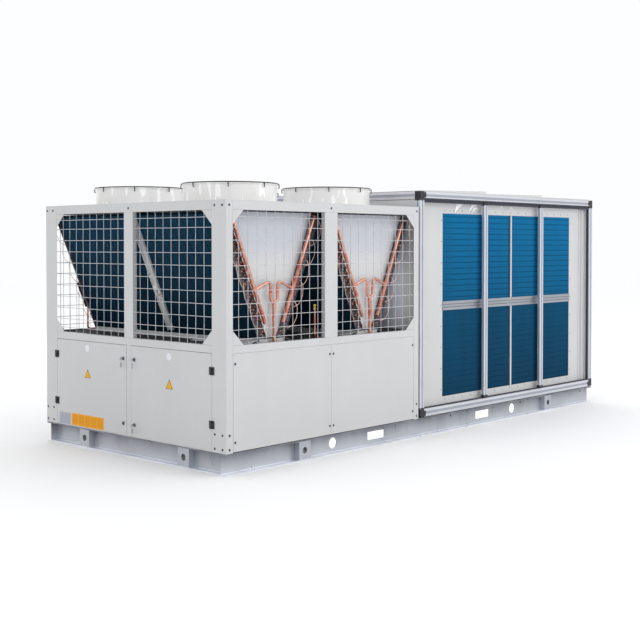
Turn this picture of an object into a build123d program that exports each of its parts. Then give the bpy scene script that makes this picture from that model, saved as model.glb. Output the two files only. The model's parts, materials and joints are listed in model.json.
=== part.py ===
"""Packaged rooftop air-conditioning unit with scroll compressors.

Units are millimetres, +Z is up and +X runs from the condenser end to the air-handling end.
The origin is on the ground under the middle of the base. The front is the long side at -Y.
"""
from build123d import *
from math import atan2, cos, degrees, hypot, pi, radians, sin
import os

os.makedirs("parts", exist_ok=True)

# ---------------------------------------------------------------- driving dimensions
length = 5140
width = 2200
base_top = 160
condenser_length = 2200
condenser_top = 1950
roof_sheet = 3
air_section_bottom = 166
air_section_top = 2085

left = -length / 2
right = length / 2
front = -width / 2
rear = width / 2
joint = left + condenser_length      # face where the two sections meet

seam = 0.5                           # gap left between neighbouring pieces of sheet metal
sheet = 2
running = 0.05                       # radial clearance of a pin or shaft in its bore

# base channels
flange_tip = 4
web_inset = 55
web = 7
flange = 11
web_middle = base_top / 2
lightening_holes = (left + 1178, left + 3722)
lightening_radius = 44
fork_slots = (left + 1705, left + 3229)
fork_slot_length = 212
fork_slot_height = 66
anchor_x = 2400
anchor_y = 1070
anchor_radius = 9
cross_members = (-1700, -1480, -190, 200, 480, 1980)   # none stands behind a hole or a fork slot
between_webs = width / 2 - web_inset - web - seam

# lifting lugs
lug_width = 125
lug_plate = 8
lug_hole_radius = 25
lug_height = base_top - 2 * flange
long_side_lugs = (left + 808, left + 4290)
end_lugs = (-632, 582)

# condenser cabinet
post_end_width = 150
post_side_width = 65
middle_rail = (862, 918)
window = (middle_rail[1], 1880)
top_rail = (window[1], condenser_top - roof_sheet)
mullion_side = (left + 1028, left + 1172)
mullion_end = (-54, 54)
rail_depth = 38
panel_bottom = 166
panel_depth = 22
gusset_leg = 105
wire = 4
wire_plane = 6
wire_pitch = 91
wire_rows = [960] + [1028 + wire_pitch * row for row in range(9)] + [1830]
side_guard_spans = ((left + 131, 92), (left + 1246, 94))    # first upright wire and pitch
end_guard_first = (144, -856)
side_guard_wires = 10
end_guard_wires = 9
floor_z = 900
panel_split = left + 1100
screw_radius = 7
screw_head = 3
post_screws = ((31, 2174), (187, 288, 1912))                # from the left end, and height
panel_screws = ((86, 1083, 1125, 2120), (232, 789))
end_screws = ((-1060, -979, 1000, 1080), (187, 288, 1911))  # from the centre line, and height

# doors, hinges and locks on the condenser end
door_top = middle_rail[0] - 3
strip_half = 28
door_y = (strip_half + 2, width / 2 - post_end_width - 2)
hinge_y = door_y[1] + 1
hinge_x = left - 8
hinge_heights = (353, 736)
hinge_length = 57
knuckle_radius = 6
pin_radius = 3
leaf = 3
leaf_reach = (7, 28)                 # how far a leaf lies from the pin
leaf_web = (5, 8)                    # thickness and width of the tongue that carries a knuckle
knuckle_gap = 0.3
lock_y = 68
lock_heights = (255, 755)
lock_radius = 7
barrel_radius = 10
lock_flange_radius = 14
lock_flange = 3
key_bow = (22, 24)
key_thickness = 2

# fans
fan_x = (left + 550, left + 1650)
fan_y = (-550, 550)
cowl_radius = 357
cowl_top = 2093
blade_tip_radius = 345
hub_radius = 95
fan_shaft_radius = 12
fan_blades = 5
guard_rings = 9
first_ring = 46
ring_pitch = 40
guard_spokes = 8
motor_top = 1912
motor_radius = 80
motor_height = 120
motor_plate = (240, 240, 5)
bracket_half_length = 400
bracket_offset = 95
bracket_half_width = 20

# V-shaped condenser coils
coil_bottom = (85, 940)              # middle of the slab's lower edge, from the V's centre line
coil_top = (477, 1862)
coil_thickness = 55
coil_half_length = 990
pipe_plane = front + 75
header_inset = 36
header_radius = 16
header_range = (112, 985)            # along the slab, from its lower edge
bend_pitch = 50.8
bend_count = 19
first_bend = 44
bend_radius = bend_pitch / 4
bend_tube_radius = 4.8
tray_half = 130
tray_top = 936
strut_half = 34
strut_thickness = 6

# refrigerant pipes
fork_z = 1188
fork_half = 36
fork_rise = 178
pipe_z = 700
riser_radius = 15
leg_radius = 12
riser_hole_radius = 18
tee_distance = 390

# scroll compressors
compressors = {"a": (left + 1050, -420), "b": (left + 1550, 420)}
shell_radius = 115
shell_inside = 110
shaft_radius = 14
crank_pin_radius = 11
involute_radius = 3.0
wrap_thickness = 4.0
wrap_start = 3.2
wrap_end = 16.2
orbit_radius = pi * involute_radius - wrap_thickness - 0.27
stator_z = 360
stator_height = 110
bearing_z = 262
inside_fit = shell_inside - 0.3
compressor_foot = 260
foot_pitch = 210
receivers = [(left + 1050, 420), (left + 1550, -420)]
receiver_radius = 85
receiver_height = 480

# air-handling section
air_left = joint + 22
profile = 60
rail_height = 68
post_bottom = air_section_bottom + rail_height
post_top = air_section_top - rail_height
bay = (right - air_left - 4 * profile) / 3
air_mullions = [air_left + profile + bay * n + profile * (n - 1) for n in (1, 2)]
mullion_depth = 30
recess = 65
coil_x = (left + 2626, left + 4782)
coil_z = (300, 1905)
coil_rail_z = (1055, 1135)
coil_divider_x = left + 3698
coil_depth = 120
wall = 45
duct_flange = 15
roof_rise = (28, 24, 10)

# supply blower
blower_x = right - 640
blower_z = 980
blower_y = (-430, 430)
blower_width = 420
wheel_radius = 225
wheel_width = 380
throat_gap = 45
blower_shaft_radius = 20
outlet_height = 380
drive_y = 800
motor_x = right - 1250
motor_z = 420
blower_pulley = 140
motor_pulley = 70
wheel_blades = 36


# ---------------------------------------------------------------- helpers
def block(x, y, z, mode=Mode.ADD):
    """A box between a low and a high value on each axis."""
    with Locations(((x[0] + x[1]) / 2, (y[0] + y[1]) / 2, (z[0] + z[1]) / 2)):
        Box(x[1] - x[0], y[1] - y[0], z[1] - z[0], mode=mode)


def folded(x, y, z, opening, skin=sheet):
    """A folded sheet tray: a box hollowed out towards one side."""
    block(x, y, z)
    inner = {
        axis: [span[0] + skin, span[1] - skin]
        for axis, span in (("x", x), ("y", y), ("z", z))
    }
    end = 1 if opening[0] == "+" else 0
    inner[opening[1]][end] = dict(x=x, y=y, z=z)[opening[1]][end]
    block(inner["x"], inner["y"], inner["z"], mode=Mode.SUBTRACT)


def facing_y(y):
    """A plane across Y whose sketch X and Y run along the unit and upwards."""
    return Plane(origin=(0, y, 0), x_dir=(1, 0, 0), z_dir=(0, -1, 0))


def facing_x(x):
    """A plane across X whose sketch X and Y run along +Y and upwards."""
    return Plane(origin=(x, 0, 0), x_dir=(0, 1, 0), z_dir=(1, 0, 0))


def inward_plane(x, y, z, inward):
    """An upright plane that looks inwards, with its sketch Y upwards."""
    across = Vector(0, 0, 1).cross(Vector(*inward))
    return Plane(origin=(x, y, z), x_dir=across, z_dir=inward)


# ---------------------------------------------------------------- base frame
with BuildPart() as base_beams:
    for side, inward in ((front, 1), (rear, -1)):
        tip = side + inward * flange_tip
        outer = side + inward * web_inset
        inner = outer + inward * web
        with BuildSketch(facing_x(left)):
            with BuildLine():
                Polyline(
                    (tip, 0), (inner, 0), (inner, base_top), (tip, base_top),
                    (tip, base_top - flange), (outer, base_top - flange),
                    (outer, flange), (tip, flange), close=True,
                )
            make_face()
        extrude(amount=length)
        with BuildSketch(facing_y((outer + inner) / 2)):
            with Locations(*[(x, web_middle) for x in lightening_holes]):
                Circle(lightening_radius)
            with Locations(*[(x, web_middle) for x in fork_slots]):
                RectangleRounded(fork_slot_length, fork_slot_height, 6)
        extrude(amount=web, both=True, mode=Mode.SUBTRACT)
        with Locations(*[(x, inward * -anchor_y, flange / 2) for x in (-anchor_x, anchor_x)]):
            Cylinder(anchor_radius, 2 * flange, mode=Mode.SUBTRACT)
    for end, inward in ((left, 1), (right, -1)):
        tip = end + inward * flange_tip
        outer = end + inward * web_inset
        inner = outer + inward * web
        with BuildSketch(facing_y(between_webs)):
            with BuildLine():
                Polyline(
                    (tip, 0), (inner, 0), (inner, base_top), (tip, base_top),
                    (tip, base_top - flange), (outer, base_top - flange),
                    (outer, flange), (tip, flange), close=True,
                )
            make_face()
        extrude(amount=2 * between_webs)
base_beams.part.label = "base_beams"
export_step(base_beams.part, "parts/base_beams.step")

with BuildPart() as base_cross_members:
    for x in cross_members:
        block((x - 30, x + 30), (-between_webs, between_webs), (flange + seam, base_top - seam))
        block((x - 24, x + 30), (-between_webs, between_webs), (2 * flange, base_top - flange),
              mode=Mode.SUBTRACT)
base_cross_members.part.label = "base_cross_members"
export_step(base_cross_members.part, "parts/base_cross_members.step")

lug_faces = (
    [inward_plane(x, front + flange_tip, web_middle, (0, 1, 0)) for x in long_side_lugs]
    + [inward_plane(x, rear - flange_tip, web_middle, (0, -1, 0)) for x in long_side_lugs]
    + [inward_plane(left + flange_tip, y, web_middle, (1, 0, 0)) for y in end_lugs]
    + [inward_plane(right - flange_tip, y, web_middle, (-1, 0, 0)) for y in end_lugs]
)
with BuildPart() as lifting_lugs:
    for face in lug_faces:
        with BuildSketch(face):
            Rectangle(lug_width, lug_height)
            Circle(lug_hole_radius, mode=Mode.SUBTRACT)
        extrude(amount=lug_plate)
        with BuildSketch(face.offset(lug_plate)):
            with GridLocations(lug_width - lug_plate, 0, 2, 1):
                Rectangle(lug_plate, lug_height)
        extrude(amount=web_inset - flange_tip - lug_plate)
lifting_lugs.part.label = "lifting_lugs"
export_step(lifting_lugs.part, "parts/lifting_lugs.step")

# ---------------------------------------------------------------- condenser cabinet
skin = 3
with BuildPart() as condenser_corner_posts:
    with BuildSketch(Plane.XY.offset(base_top)):
        for x, dx in ((left, 1), (joint, -1)):
            for y, dy in ((front, 1), (rear, -1)):
                with BuildLine():
                    Polyline(
                        (x, y), (x + dx * post_side_width, y),
                        (x + dx * post_side_width, y + dy * skin),
                        (x + dx * skin, y + dy * skin),
                        (x + dx * skin, y + dy * post_end_width),
                        (x, y + dy * post_end_width), close=True,
                    )
                make_face()
    extrude(amount=condenser_top - roof_sheet - base_top)
condenser_corner_posts.part.label = "condenser_corner_posts"
export_step(condenser_corner_posts.part, "parts/condenser_corner_posts.step")

side_x = (left + post_side_width + seam, joint - post_side_width - seam)
end_y = (front + post_end_width + seam, rear - post_end_width - seam)
upright_z = (window[0] + seam, window[1] - seam)
with BuildPart() as condenser_rails:
    for z in (middle_rail, top_rail):
        folded(side_x, (front, front + rail_depth), z, "+y")
        folded(side_x, (rear - rail_depth, rear), z, "-y")
        folded((left, left + rail_depth), end_y, z, "+x")
        folded((joint - rail_depth, joint), end_y, z, "-x")
    folded(mullion_side, (front, front + rail_depth), upright_z, "+y")
    folded(mullion_side, (rear - rail_depth, rear), upright_z, "-y")
    folded((left, left + rail_depth), mullion_end, upright_z, "+x")
    strip_z = (base_top + seam, middle_rail[0] - seam)
    folded((left, left + panel_depth - 2), (-strip_half, strip_half), strip_z, "+x")
condenser_rails.part.label = "condenser_rails"
export_step(condenser_rails.part, "parts/condenser_rails.step")


def gussets(low, high):
    """Triangular plates in the four outer corners of a pair of windows."""
    for across, out in ((low, 1), (high, -1)):
        for up, turn in ((window[0], 1), (window[1], -1)):
            with BuildLine() as outline:
                Polyline(
                    (across + out, up + turn), (across + out * gusset_leg, up + turn),
                    (across + out, up + turn * gusset_leg), close=True,
                )
            make_face(outline.edges())


with BuildPart() as corner_gussets:
    for plane_y in (front + skin, rear - seam):
        with BuildSketch(facing_y(plane_y)):
            gussets(left + post_side_width, joint - post_side_width)
        extrude(amount=skin - seam)
    with BuildSketch(facing_x(left + seam)):
        gussets(front + post_end_width, rear - post_end_width)
    extrude(amount=skin - seam)
corner_gussets.part.label = "corner_gussets"
export_step(corner_gussets.part, "parts/corner_gussets.step")


def guard(low, high, first, pitch, count):
    """A welded wire grid that fills one window, drawn across and up."""
    with Locations(*[(first + pitch * n, (window[0] + window[1]) / 2) for n in range(count)]):
        Rectangle(wire, window[1] - window[0] - 4)
    with Locations(*[((low + high) / 2, z) for z in wire_rows]):
        Rectangle(high - low - 4, wire)


with BuildPart() as wire_guards:
    for plane_y in (front + wire_plane + wire, rear - wire_plane):
        with BuildSketch(facing_y(plane_y)):
            guard(left + post_side_width, mullion_side[0], *side_guard_spans[0], side_guard_wires)
            guard(mullion_side[1], joint - post_side_width, *side_guard_spans[1], side_guard_wires)
        extrude(amount=wire)
    with BuildSketch(facing_x(left + wire_plane)):
        guard(mullion_end[1], rear - post_end_width, end_guard_first[0], wire_pitch, end_guard_wires)
        guard(front + post_end_width, mullion_end[0], end_guard_first[1], wire_pitch, end_guard_wires)
    extrude(amount=wire)
wire_guards.part.label = "wire_guards"
export_step(wire_guards.part, "parts/wire_guards.step")

panel_z = (panel_bottom, middle_rail[0] - 1)
panel_spans = (
    (left + post_side_width + 2, panel_split - 1),
    (panel_split + 1, joint - post_side_width - 2),
)
with BuildPart() as lower_side_panels:
    for x in panel_spans:
        folded(x, (front, front + panel_depth), panel_z, "+y")
        folded(x, (rear - panel_depth, rear), panel_z, "-y")
lower_side_panels.part.label = "lower_side_panels"
export_step(lower_side_panels.part, "parts/lower_side_panels.step")

riser_points = [(x, pipe_plane) for x in fan_x]
with BuildPart() as compartment_floors:
    block((left + 40, joint - 40), (front + 62, rear - 62), (base_top + 1, base_top + 3))
    block((left + 40, joint - 40), (front + 40, rear - 40), (floor_z - 3, floor_z))
    with Locations(*[(x, y, floor_z) for x, y in riser_points]):
        Cylinder(riser_hole_radius, 20, mode=Mode.SUBTRACT)
compartment_floors.part.label = "compartment_floors"
export_step(compartment_floors.part, "parts/compartment_floors.step")

fan_centres = [(x, y) for x in fan_x for y in fan_y]
with BuildPart() as condenser_roof:
    block((left, joint), (front, rear), (condenser_top - roof_sheet, condenser_top))
    with Locations(*[(x, y, condenser_top) for x, y in fan_centres]):
        Cylinder(cowl_radius, 20, mode=Mode.SUBTRACT)
condenser_roof.part.label = "condenser_roof"
export_step(condenser_roof.part, "parts/condenser_roof.step")

side_points = [(panel_split, post_screws[1][-1])] + [
    (left + x, z) for xs, zs in (post_screws, panel_screws) for x in xs for z in zs
]
end_points = [(0, end_screws[1][-1])] + [(y, z) for y in end_screws[0] for z in end_screws[1]]
with BuildPart() as cabinet_screws:
    for y, turn in ((front - screw_head / 2, 90), (rear + screw_head / 2, -90)):
        with Locations(*[(x, y, z) for x, z in side_points]):
            Cylinder(screw_radius, screw_head, rotation=(turn, 0, 0))
    with Locations(*[(left - screw_head / 2, y, z) for y, z in end_points]):
        Cylinder(screw_radius, screw_head, rotation=(0, 90, 0))
cabinet_screws.part.label = "cabinet_screws"
export_step(cabinet_screws.part, "parts/cabinet_screws.step")

# ---------------------------------------------------------------- end doors, hinges and locks
hinge_spans = [(z - hinge_length / 2, z + hinge_length / 2) for z in hinge_heights]
third = hinge_length / 3


def ordered(a, b):
    return (min(a, b), max(a, b))


def fixed_leaf(z, side):
    """The leaf on the post, with its two outer knuckles and the pin."""
    reach = ordered(side * (hinge_y + leaf_reach[0]), side * (hinge_y + leaf_reach[1]))
    block((left - leaf, left), reach, z)
    for low in (z[0], z[0] + 2 * third):
        part_z = (low, low + third - knuckle_gap) if low == z[0] else (low + knuckle_gap, low + third)
        block((left - leaf_web[0], left), ordered(side * hinge_y, side * (hinge_y + leaf_web[1])), part_z)
        with Locations((hinge_x, side * hinge_y, (part_z[0] + part_z[1]) / 2)):
            Cylinder(knuckle_radius, part_z[1] - part_z[0])
    with Locations((hinge_x, side * hinge_y, (z[0] + z[1]) / 2)):
        Cylinder(pin_radius, hinge_length)


def moving_leaf(z, side):
    """The leaf on the door, with the middle knuckle round the pin."""
    middle = (z[0] + third, z[0] + 2 * third)
    reach = ordered(side * (hinge_y - leaf_reach[1]), side * (hinge_y - leaf_reach[0]))
    block((left - leaf, left), reach, z)
    block((left - leaf_web[0], left), ordered(side * (hinge_y - leaf_web[1]), side * hinge_y), middle)
    with Locations((hinge_x, side * hinge_y, (middle[0] + middle[1]) / 2)):
        Cylinder(knuckle_radius, third)
        Cylinder(pin_radius + running, third, mode=Mode.SUBTRACT)


def lock_housing(z, side):
    """A round lock body: flange outside the door, barrel through it."""
    with Locations((left - lock_flange / 2, side * lock_y, z)):
        Cylinder(lock_flange_radius, lock_flange, rotation=(0, 90, 0))
    with Locations((left + 10, side * lock_y, z)):
        Cylinder(barrel_radius, 20, rotation=(0, 90, 0))
        Cylinder(lock_radius + running, 60, rotation=(0, 90, 0), mode=Mode.SUBTRACT)


access_x = (air_mullions[0] + profile + 4, air_mullions[1] - 4)
access_z = (post_bottom + 4, post_top - 4)
access_hinge = (access_x[0] - 2, rear + 8)
access_hinge_heights = (480, 1125, 1770)

with BuildPart() as door_hinges:
    for side in (1, -1):
        for z in hinge_spans:
            fixed_leaf(z, side)
    for height in access_hinge_heights:
        z = (height - hinge_length / 2, height + hinge_length / 2)
        hx, hy = access_hinge
        block((hx - leaf_reach[1], hx - leaf_reach[0]), (rear, rear + leaf), z)
        for low, high in ((z[0], z[0] + third - knuckle_gap), (z[1] - third + knuckle_gap, z[1])):
            block((hx - leaf_web[1], hx), (rear, rear + leaf_web[0]), (low, high))
            with Locations((hx, hy, (low + high) / 2)):
                Cylinder(knuckle_radius, high - low)
        with Locations((hx, hy, height)):
            Cylinder(pin_radius, hinge_length)
door_hinges.part.label = "door_hinges"
export_step(door_hinges.part, "parts/door_hinges.step")

for side, name in ((1, "left"), (-1, "right")):
    with BuildPart() as door:
        folded((left, left + panel_depth), ordered(side * door_y[0], side * door_y[1]),
               (panel_bottom + 2, door_top), "+x")
        with Locations(*[(left, side * lock_y, z) for z in lock_heights]):
            Cylinder(barrel_radius + seam, 20, rotation=(0, 90, 0), mode=Mode.SUBTRACT)
    door.part.label = f"{name}_door"
    export_step(door.part, f"parts/{name}_door.step")

    with BuildPart() as fittings:
        for z in hinge_spans:
            moving_leaf(z, side)
        for z in lock_heights:
            lock_housing(z, side)
    fittings.part.label = f"{name}_door_fittings"
    export_step(fittings.part, f"parts/{name}_door_fittings.step")

    for z, level in zip(lock_heights, ("lower", "upper")):
        with BuildPart() as lock:
            with Locations((left + 10.75, side * lock_y, z)):
                Cylinder(lock_radius, 29.5, rotation=(0, 90, 0))
            block((left + 22.5, left + 25.5), (side * lock_y - 9, side * lock_y + 9), (z - 9, z + 46))
            with BuildSketch(facing_y(side * lock_y + key_thickness / 2)):
                with Locations((left - 20, z)):
                    RectangleRounded(*key_bow, 6)
                with Locations((left - 7, z)):
                    Rectangle(5.9, 8)
            extrude(amount=key_thickness)
        lock.part.label = f"{level}_{name}_lock"
        export_step(lock.part, f"parts/{level}_{name}_lock.step")

# ---------------------------------------------------------------- fans
with BuildPart() as fan_cowls:
    for x, y in fan_centres:
        with BuildSketch(facing_y(y)):
            with BuildLine():
                Polyline(
                    (x + cowl_radius, condenser_top), (x + cowl_radius + 38, condenser_top),
                    (x + cowl_radius + 38, condenser_top + 3), (x + cowl_radius + 4, condenser_top + 3),
                    (x + cowl_radius + 4, cowl_top - 14), (x + cowl_radius + 11, cowl_top - 8),
                    (x + cowl_radius + 13, cowl_top - 1), (x + cowl_radius + 8, cowl_top),
                    (x + cowl_radius, cowl_top - 11), close=True,
                )
            make_face()
        revolve(axis=Axis((x, y, 0), (0, 0, 1)))
fan_cowls.part.label = "fan_cowls"
export_step(fan_cowls.part, "parts/fan_cowls.step")

with BuildPart() as one_guard:
    with BuildSketch(Plane.XY.offset(cowl_top + 1)):
        for ring in range(guard_rings):
            radius = first_ring + ring_pitch * ring
            Circle(radius)
            Circle(radius - wire, mode=Mode.SUBTRACT)
            with PolarLocations(radius - ring_pitch / 2, guard_spokes, start_angle=180 / guard_spokes):
                Rectangle(48, wire)
        Circle(40, mode=Mode.SUBTRACT)
        with PolarLocations(368, guard_spokes):
            Rectangle(12, 10)
    extrude(amount=wire)
    with PolarLocations(cowl_radius + 16, guard_spokes):
        with Locations((0, 0, cowl_top - 13)):
            Box(3, 10, 36)

with BuildPart() as fan_guards:
    with Locations(*[(x, y, 0) for x, y in fan_centres]):
        add(one_guard.part)
fan_guards.part.label = "fan_guards"
export_step(fan_guards.part, "parts/fan_guards.step")

hub_z = (1985, 2055)
with BuildPart() as blade:
    with BuildSketch(Plane.YZ.offset(hub_radius - 8)):
        with Locations((0, 2020)):
            Rectangle(84, 6, rotation=40)
    with BuildSketch(Plane.YZ.offset(blade_tip_radius - 15)):
        with Locations((0, 2026)):
            Rectangle(210, 4, rotation=17)
    loft()

with BuildPart() as one_impeller:
    with Locations((0, 0, (hub_z[0] + hub_z[1]) / 2)):
        Cylinder(hub_radius, hub_z[1] - hub_z[0])
    fillet(one_impeller.edges().group_by(Axis.Z)[-1], 12)
    with Locations((0, 0, (hub_z[0] + motor_top - 38) / 2)):
        Cylinder(fan_shaft_radius, hub_z[0] - motor_top + 38)
    with PolarLocations(0, fan_blades):
        add(blade.part)

for number, (x, y) in enumerate(fan_centres, 1):
    with BuildPart() as impeller:
        with Locations((x, y, 0)):
            add(one_impeller.part)
    impeller.part.label = f"fan_impeller_{number}"
    export_step(impeller.part, f"parts/fan_impeller_{number}.step")

with BuildPart() as fan_motors:
    with Locations(*[(x, y, motor_top - motor_plate[2] - motor_height / 2) for x, y in fan_centres]):
        Cylinder(motor_radius, motor_height)
    with Locations(*[(x, y, motor_top - motor_plate[2] / 2) for x, y in fan_centres]):
        Box(*motor_plate)
    with Locations(*[(x, y, motor_top - 20) for x, y in fan_centres]):
        Cylinder(fan_shaft_radius + running, 50, mode=Mode.SUBTRACT)
fan_motors.part.label = "fan_motors"
export_step(fan_motors.part, "parts/fan_motors.step")

with BuildPart() as fan_motor_brackets:
    for x, y in fan_centres:
        for offset in (-bracket_offset, bracket_offset):
            folded((x - bracket_half_length, x + bracket_half_length),
                   (y + offset - bracket_half_width, y + offset + bracket_half_width),
                   (motor_top + seam, condenser_top - roof_sheet - seam), "-z")
fan_motor_brackets.part.label = "fan_motor_brackets"
export_step(fan_motor_brackets.part, "parts/fan_motor_brackets.step")

# ---------------------------------------------------------------- V coils
coil_run = (coil_top[0] - coil_bottom[0], coil_top[1] - coil_bottom[1])
slab_length = hypot(*coil_run)
slab_angle = degrees(atan2(coil_run[1], coil_run[0]))
slab_middle = ((coil_top[0] + coil_bottom[0]) / 2, (coil_top[1] + coil_bottom[1]) / 2)
along = Vector(cos(radians(slab_angle)), 0, sin(radians(slab_angle)))
outward = Vector(sin(radians(slab_angle)), 0, -cos(radians(slab_angle)))


def on_slab(x, side, distance, off=0.0):
    """The point at a distance up a slab and off its middle plane, as (x, z)."""
    px = coil_bottom[0] + along.X * distance + outward.X * off
    pz = coil_bottom[1] + along.Z * distance + outward.Z * off
    return (x + side * px, pz)


with BuildPart() as condenser_coils:
    with BuildSketch(facing_y(coil_half_length)):
        for x in fan_x:
            for side, angle in ((1, slab_angle), (-1, 180 - slab_angle)):
                with Locations((x + side * slab_middle[0], slab_middle[1])):
                    Rectangle(slab_length, coil_thickness, rotation=angle)
    extrude(amount=2 * coil_half_length)
condenser_coils.part.label = "condenser_coils"
export_step(condenser_coils.part, "parts/condenser_coils.step")

with BuildPart() as coil_supports:
    for y in (-coil_half_length + 6, coil_half_length - 4):
        with BuildSketch(facing_y(y)):
            for x in fan_x:
                inside = -coil_thickness / 2 - 1
                with BuildLine():
                    Polyline(
                        on_slab(x, 1, 0, inside), on_slab(x, 1, slab_length, inside),
                        on_slab(x, -1, slab_length, inside), on_slab(x, -1, 0, inside),
                        close=True,
                    )
                make_face()
        extrude(amount=sheet)
    for x in fan_x:
        folded((x - tray_half, x + tray_half), (-coil_half_length - 4, coil_half_length + 4),
               (floor_z + 1, tray_top), "+z")
    with BuildSketch(facing_y(strut_half)):
        for x in fan_x:
            for side, angle in ((1, slab_angle), (-1, 180 - slab_angle)):
                with Locations(on_slab(x, side, slab_length / 2 + 16, coil_thickness / 2 + 4)):
                    Rectangle(slab_length - 30, strut_thickness, rotation=angle)
    extrude(amount=2 * strut_half)
coil_supports.part.label = "coil_supports"
export_step(coil_supports.part, "parts/coil_supports.step")

bend_planes = []
for x in fan_x:
    for side in (1, -1):
        for number in range(bend_count):
            px, pz = on_slab(x, side, first_bend + bend_pitch * number)
            direction = Vector(side * along.X, 0, along.Z)
            across = direction.cross(Vector(0, -1, 0))
            bend_planes.append(Plane(origin=(px, -coil_half_length, pz), x_dir=direction, z_dir=across))

with BuildPart() as coil_headers:
    for x in fan_x:
        for side in (1, -1):
            low = on_slab(x, side, header_range[0], -header_inset)
            high = on_slab(x, side, header_range[1], -header_inset)
            with BuildSketch(Plane(origin=(low[0], pipe_plane, low[1]),
                                   z_dir=(high[0] - low[0], 0, high[1] - low[1]))):
                Circle(header_radius)
            extrude(amount=header_range[1] - header_range[0])
    with Locations(*bend_planes):
        Torus(bend_radius, bend_tube_radius, major_angle=180, align=Align.NONE)
coil_headers.part.label = "coil_headers"
export_step(coil_headers.part, "parts/coil_headers.step")

with BuildPart() as refrigerant_pipes:
    for (x, y), (cx, cy) in zip(riser_points, compressors.values()):
        with BuildLine() as riser:
            FilletPolyline((x, y, fork_z), (x, y, pipe_z), (cx, y, pipe_z), (cx, cy + 60, pipe_z),
                           (cx, cy + 60, pipe_z - 40), radius=30)
        with BuildSketch(Plane(origin=(x, y, fork_z), z_dir=(0, 0, -1))):
            Circle(riser_radius)
        sweep(path=riser.wires()[0])
        for side in (1, -1):
            tee = on_slab(x, side, tee_distance, -header_inset - header_radius - 4)
            with BuildLine() as leg:
                FilletPolyline((x, y, fork_z - 14), (x + side * fork_half, y, fork_z + 12),
                               (x + side * fork_half, y, fork_z + fork_rise), (tee[0], y, tee[1]), radius=16)
            with BuildSketch(Plane(origin=(x, y, fork_z - 14), z_dir=(side * fork_half, 0, 26))):
                Circle(leg_radius)
            sweep(path=leg.wires()[0])
refrigerant_pipes.part.label = "refrigerant_pipes"
export_step(refrigerant_pipes.part, "parts/refrigerant_pipes.step")

# ---------------------------------------------------------------- scroll compressors
shell_bottom = 200
shell_top = 670
dome = 45


def wrap_face(x, y, turn):
    """The plan of one scroll wrap: an involute wall of even thickness."""
    half = wrap_thickness / 2 / involute_radius

    def wall_points(shift):
        points = []
        for step in range(41):
            angle = wrap_start + (wrap_end - wrap_start) * step / 40
            roll = angle + shift
            px = involute_radius * (cos(angle) + roll * sin(angle))
            py = involute_radius * (sin(angle) - roll * cos(angle))
            points.append((x + px * cos(turn) - py * sin(turn), y + px * sin(turn) + py * cos(turn)))
        return points

    outer, inner = wall_points(half), wall_points(-half)
    with BuildLine() as outline:
        Spline(*outer)
        Spline(*inner)
        Line(outer[0], inner[0])
        Line(outer[-1], inner[-1])
    make_face(outline.edges())


with BuildPart() as compressor_shells:
    for x, y in compressors.values():
        with BuildSketch(facing_y(y)):
            with BuildLine():
                Polyline((x, shell_bottom), (x + 70, shell_bottom), (x + shell_radius, shell_bottom + dome),
                         (x + shell_radius, shell_top - dome), (x + 70, shell_top), (x, shell_top),
                         close=True)
            make_face()
            with BuildLine():
                Polyline((x, shell_bottom + 5), (x + 68, shell_bottom + 5),
                         (x + shell_inside, shell_bottom + dome + 2),
                         (x + shell_inside, shell_top - dome - 2), (x + 68, shell_top - 5),
                         (x, shell_top - 5), close=True)
            make_face(mode=Mode.SUBTRACT)
        revolve(axis=Axis((x, y, 0), (0, 0, 1)))
        with Locations((x, y, shell_bottom - 3)):
            Box(compressor_foot, compressor_foot, 6)
        with Locations((x, y, (base_top + 3 + shell_bottom - 6.5) / 2)):
            with GridLocations(foot_pitch, foot_pitch, 2, 2):
                Cylinder(18, shell_bottom - 6.5 - base_top - 3)
        with Locations((x, y + 60, shell_top - 30)):
            Cylinder(15.5, 130, mode=Mode.SUBTRACT)
compressor_shells.part.label = "compressor_shells"
export_step(compressor_shells.part, "parts/compressor_shells.step")

frame_z = 500
plate_z = frame_z + 56
wrap_height = 28
with BuildPart() as compressor_frames:
    for x, y in compressors.values():
        with Locations((x, y, bearing_z)):
            Cylinder(inside_fit, 14)
            Cylinder(shaft_radius + running, 40, mode=Mode.SUBTRACT)
        with Locations((x, y, frame_z + 27.85)):
            Cylinder(inside_fit, 55.7)
        with Locations((x, y, frame_z)):
            Cylinder(shaft_radius + running, 200, mode=Mode.SUBTRACT)
        with Locations((x, y, frame_z + 50)):
            Cylinder(60, 12, mode=Mode.SUBTRACT)
            Cylinder(42, 11.4)
        with Locations((x, y, frame_z + 42)):
            Cylinder(27, 44, mode=Mode.SUBTRACT)
        with BuildSketch(Plane.XY.offset(frame_z + 46)):
            with Locations((x, y)):
                Circle(56)
                Circle(46, mode=Mode.SUBTRACT)
        extrude(amount=8)
        with Locations((x, y, stator_z)):
            Cylinder(inside_fit, stator_height)
        with Locations(*[(x, y, stator_z + offset) for offset in (-62, 62)]):
            Cylinder(92, 14)
        with Locations((x, y, stator_z)):
            Cylinder(60, 150, mode=Mode.SUBTRACT)
compressor_frames.part.label = "compressor_frames"
export_step(compressor_frames.part, "parts/compressor_frames.step")

with BuildPart() as fixed_scrolls:
    for x, y in compressors.values():
        with Locations((x, y, plate_z + 8 + wrap_height + 10)):
            Cylinder(inside_fit, 20)
        with Locations((x, y, plate_z + 18)):
            Cylinder(inside_fit, 36)
            Cylinder(72, 36, mode=Mode.SUBTRACT)
        with BuildSketch(Plane.XY.offset(plate_z + 8.3)):
            wrap_face(x, y, 0)
        extrude(amount=wrap_height)
        with Locations((x, y, plate_z + 46)):
            Cylinder(5, 40, mode=Mode.SUBTRACT)
fixed_scrolls.part.label = "fixed_scrolls"
export_step(fixed_scrolls.part, "parts/fixed_scrolls.step")

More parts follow.
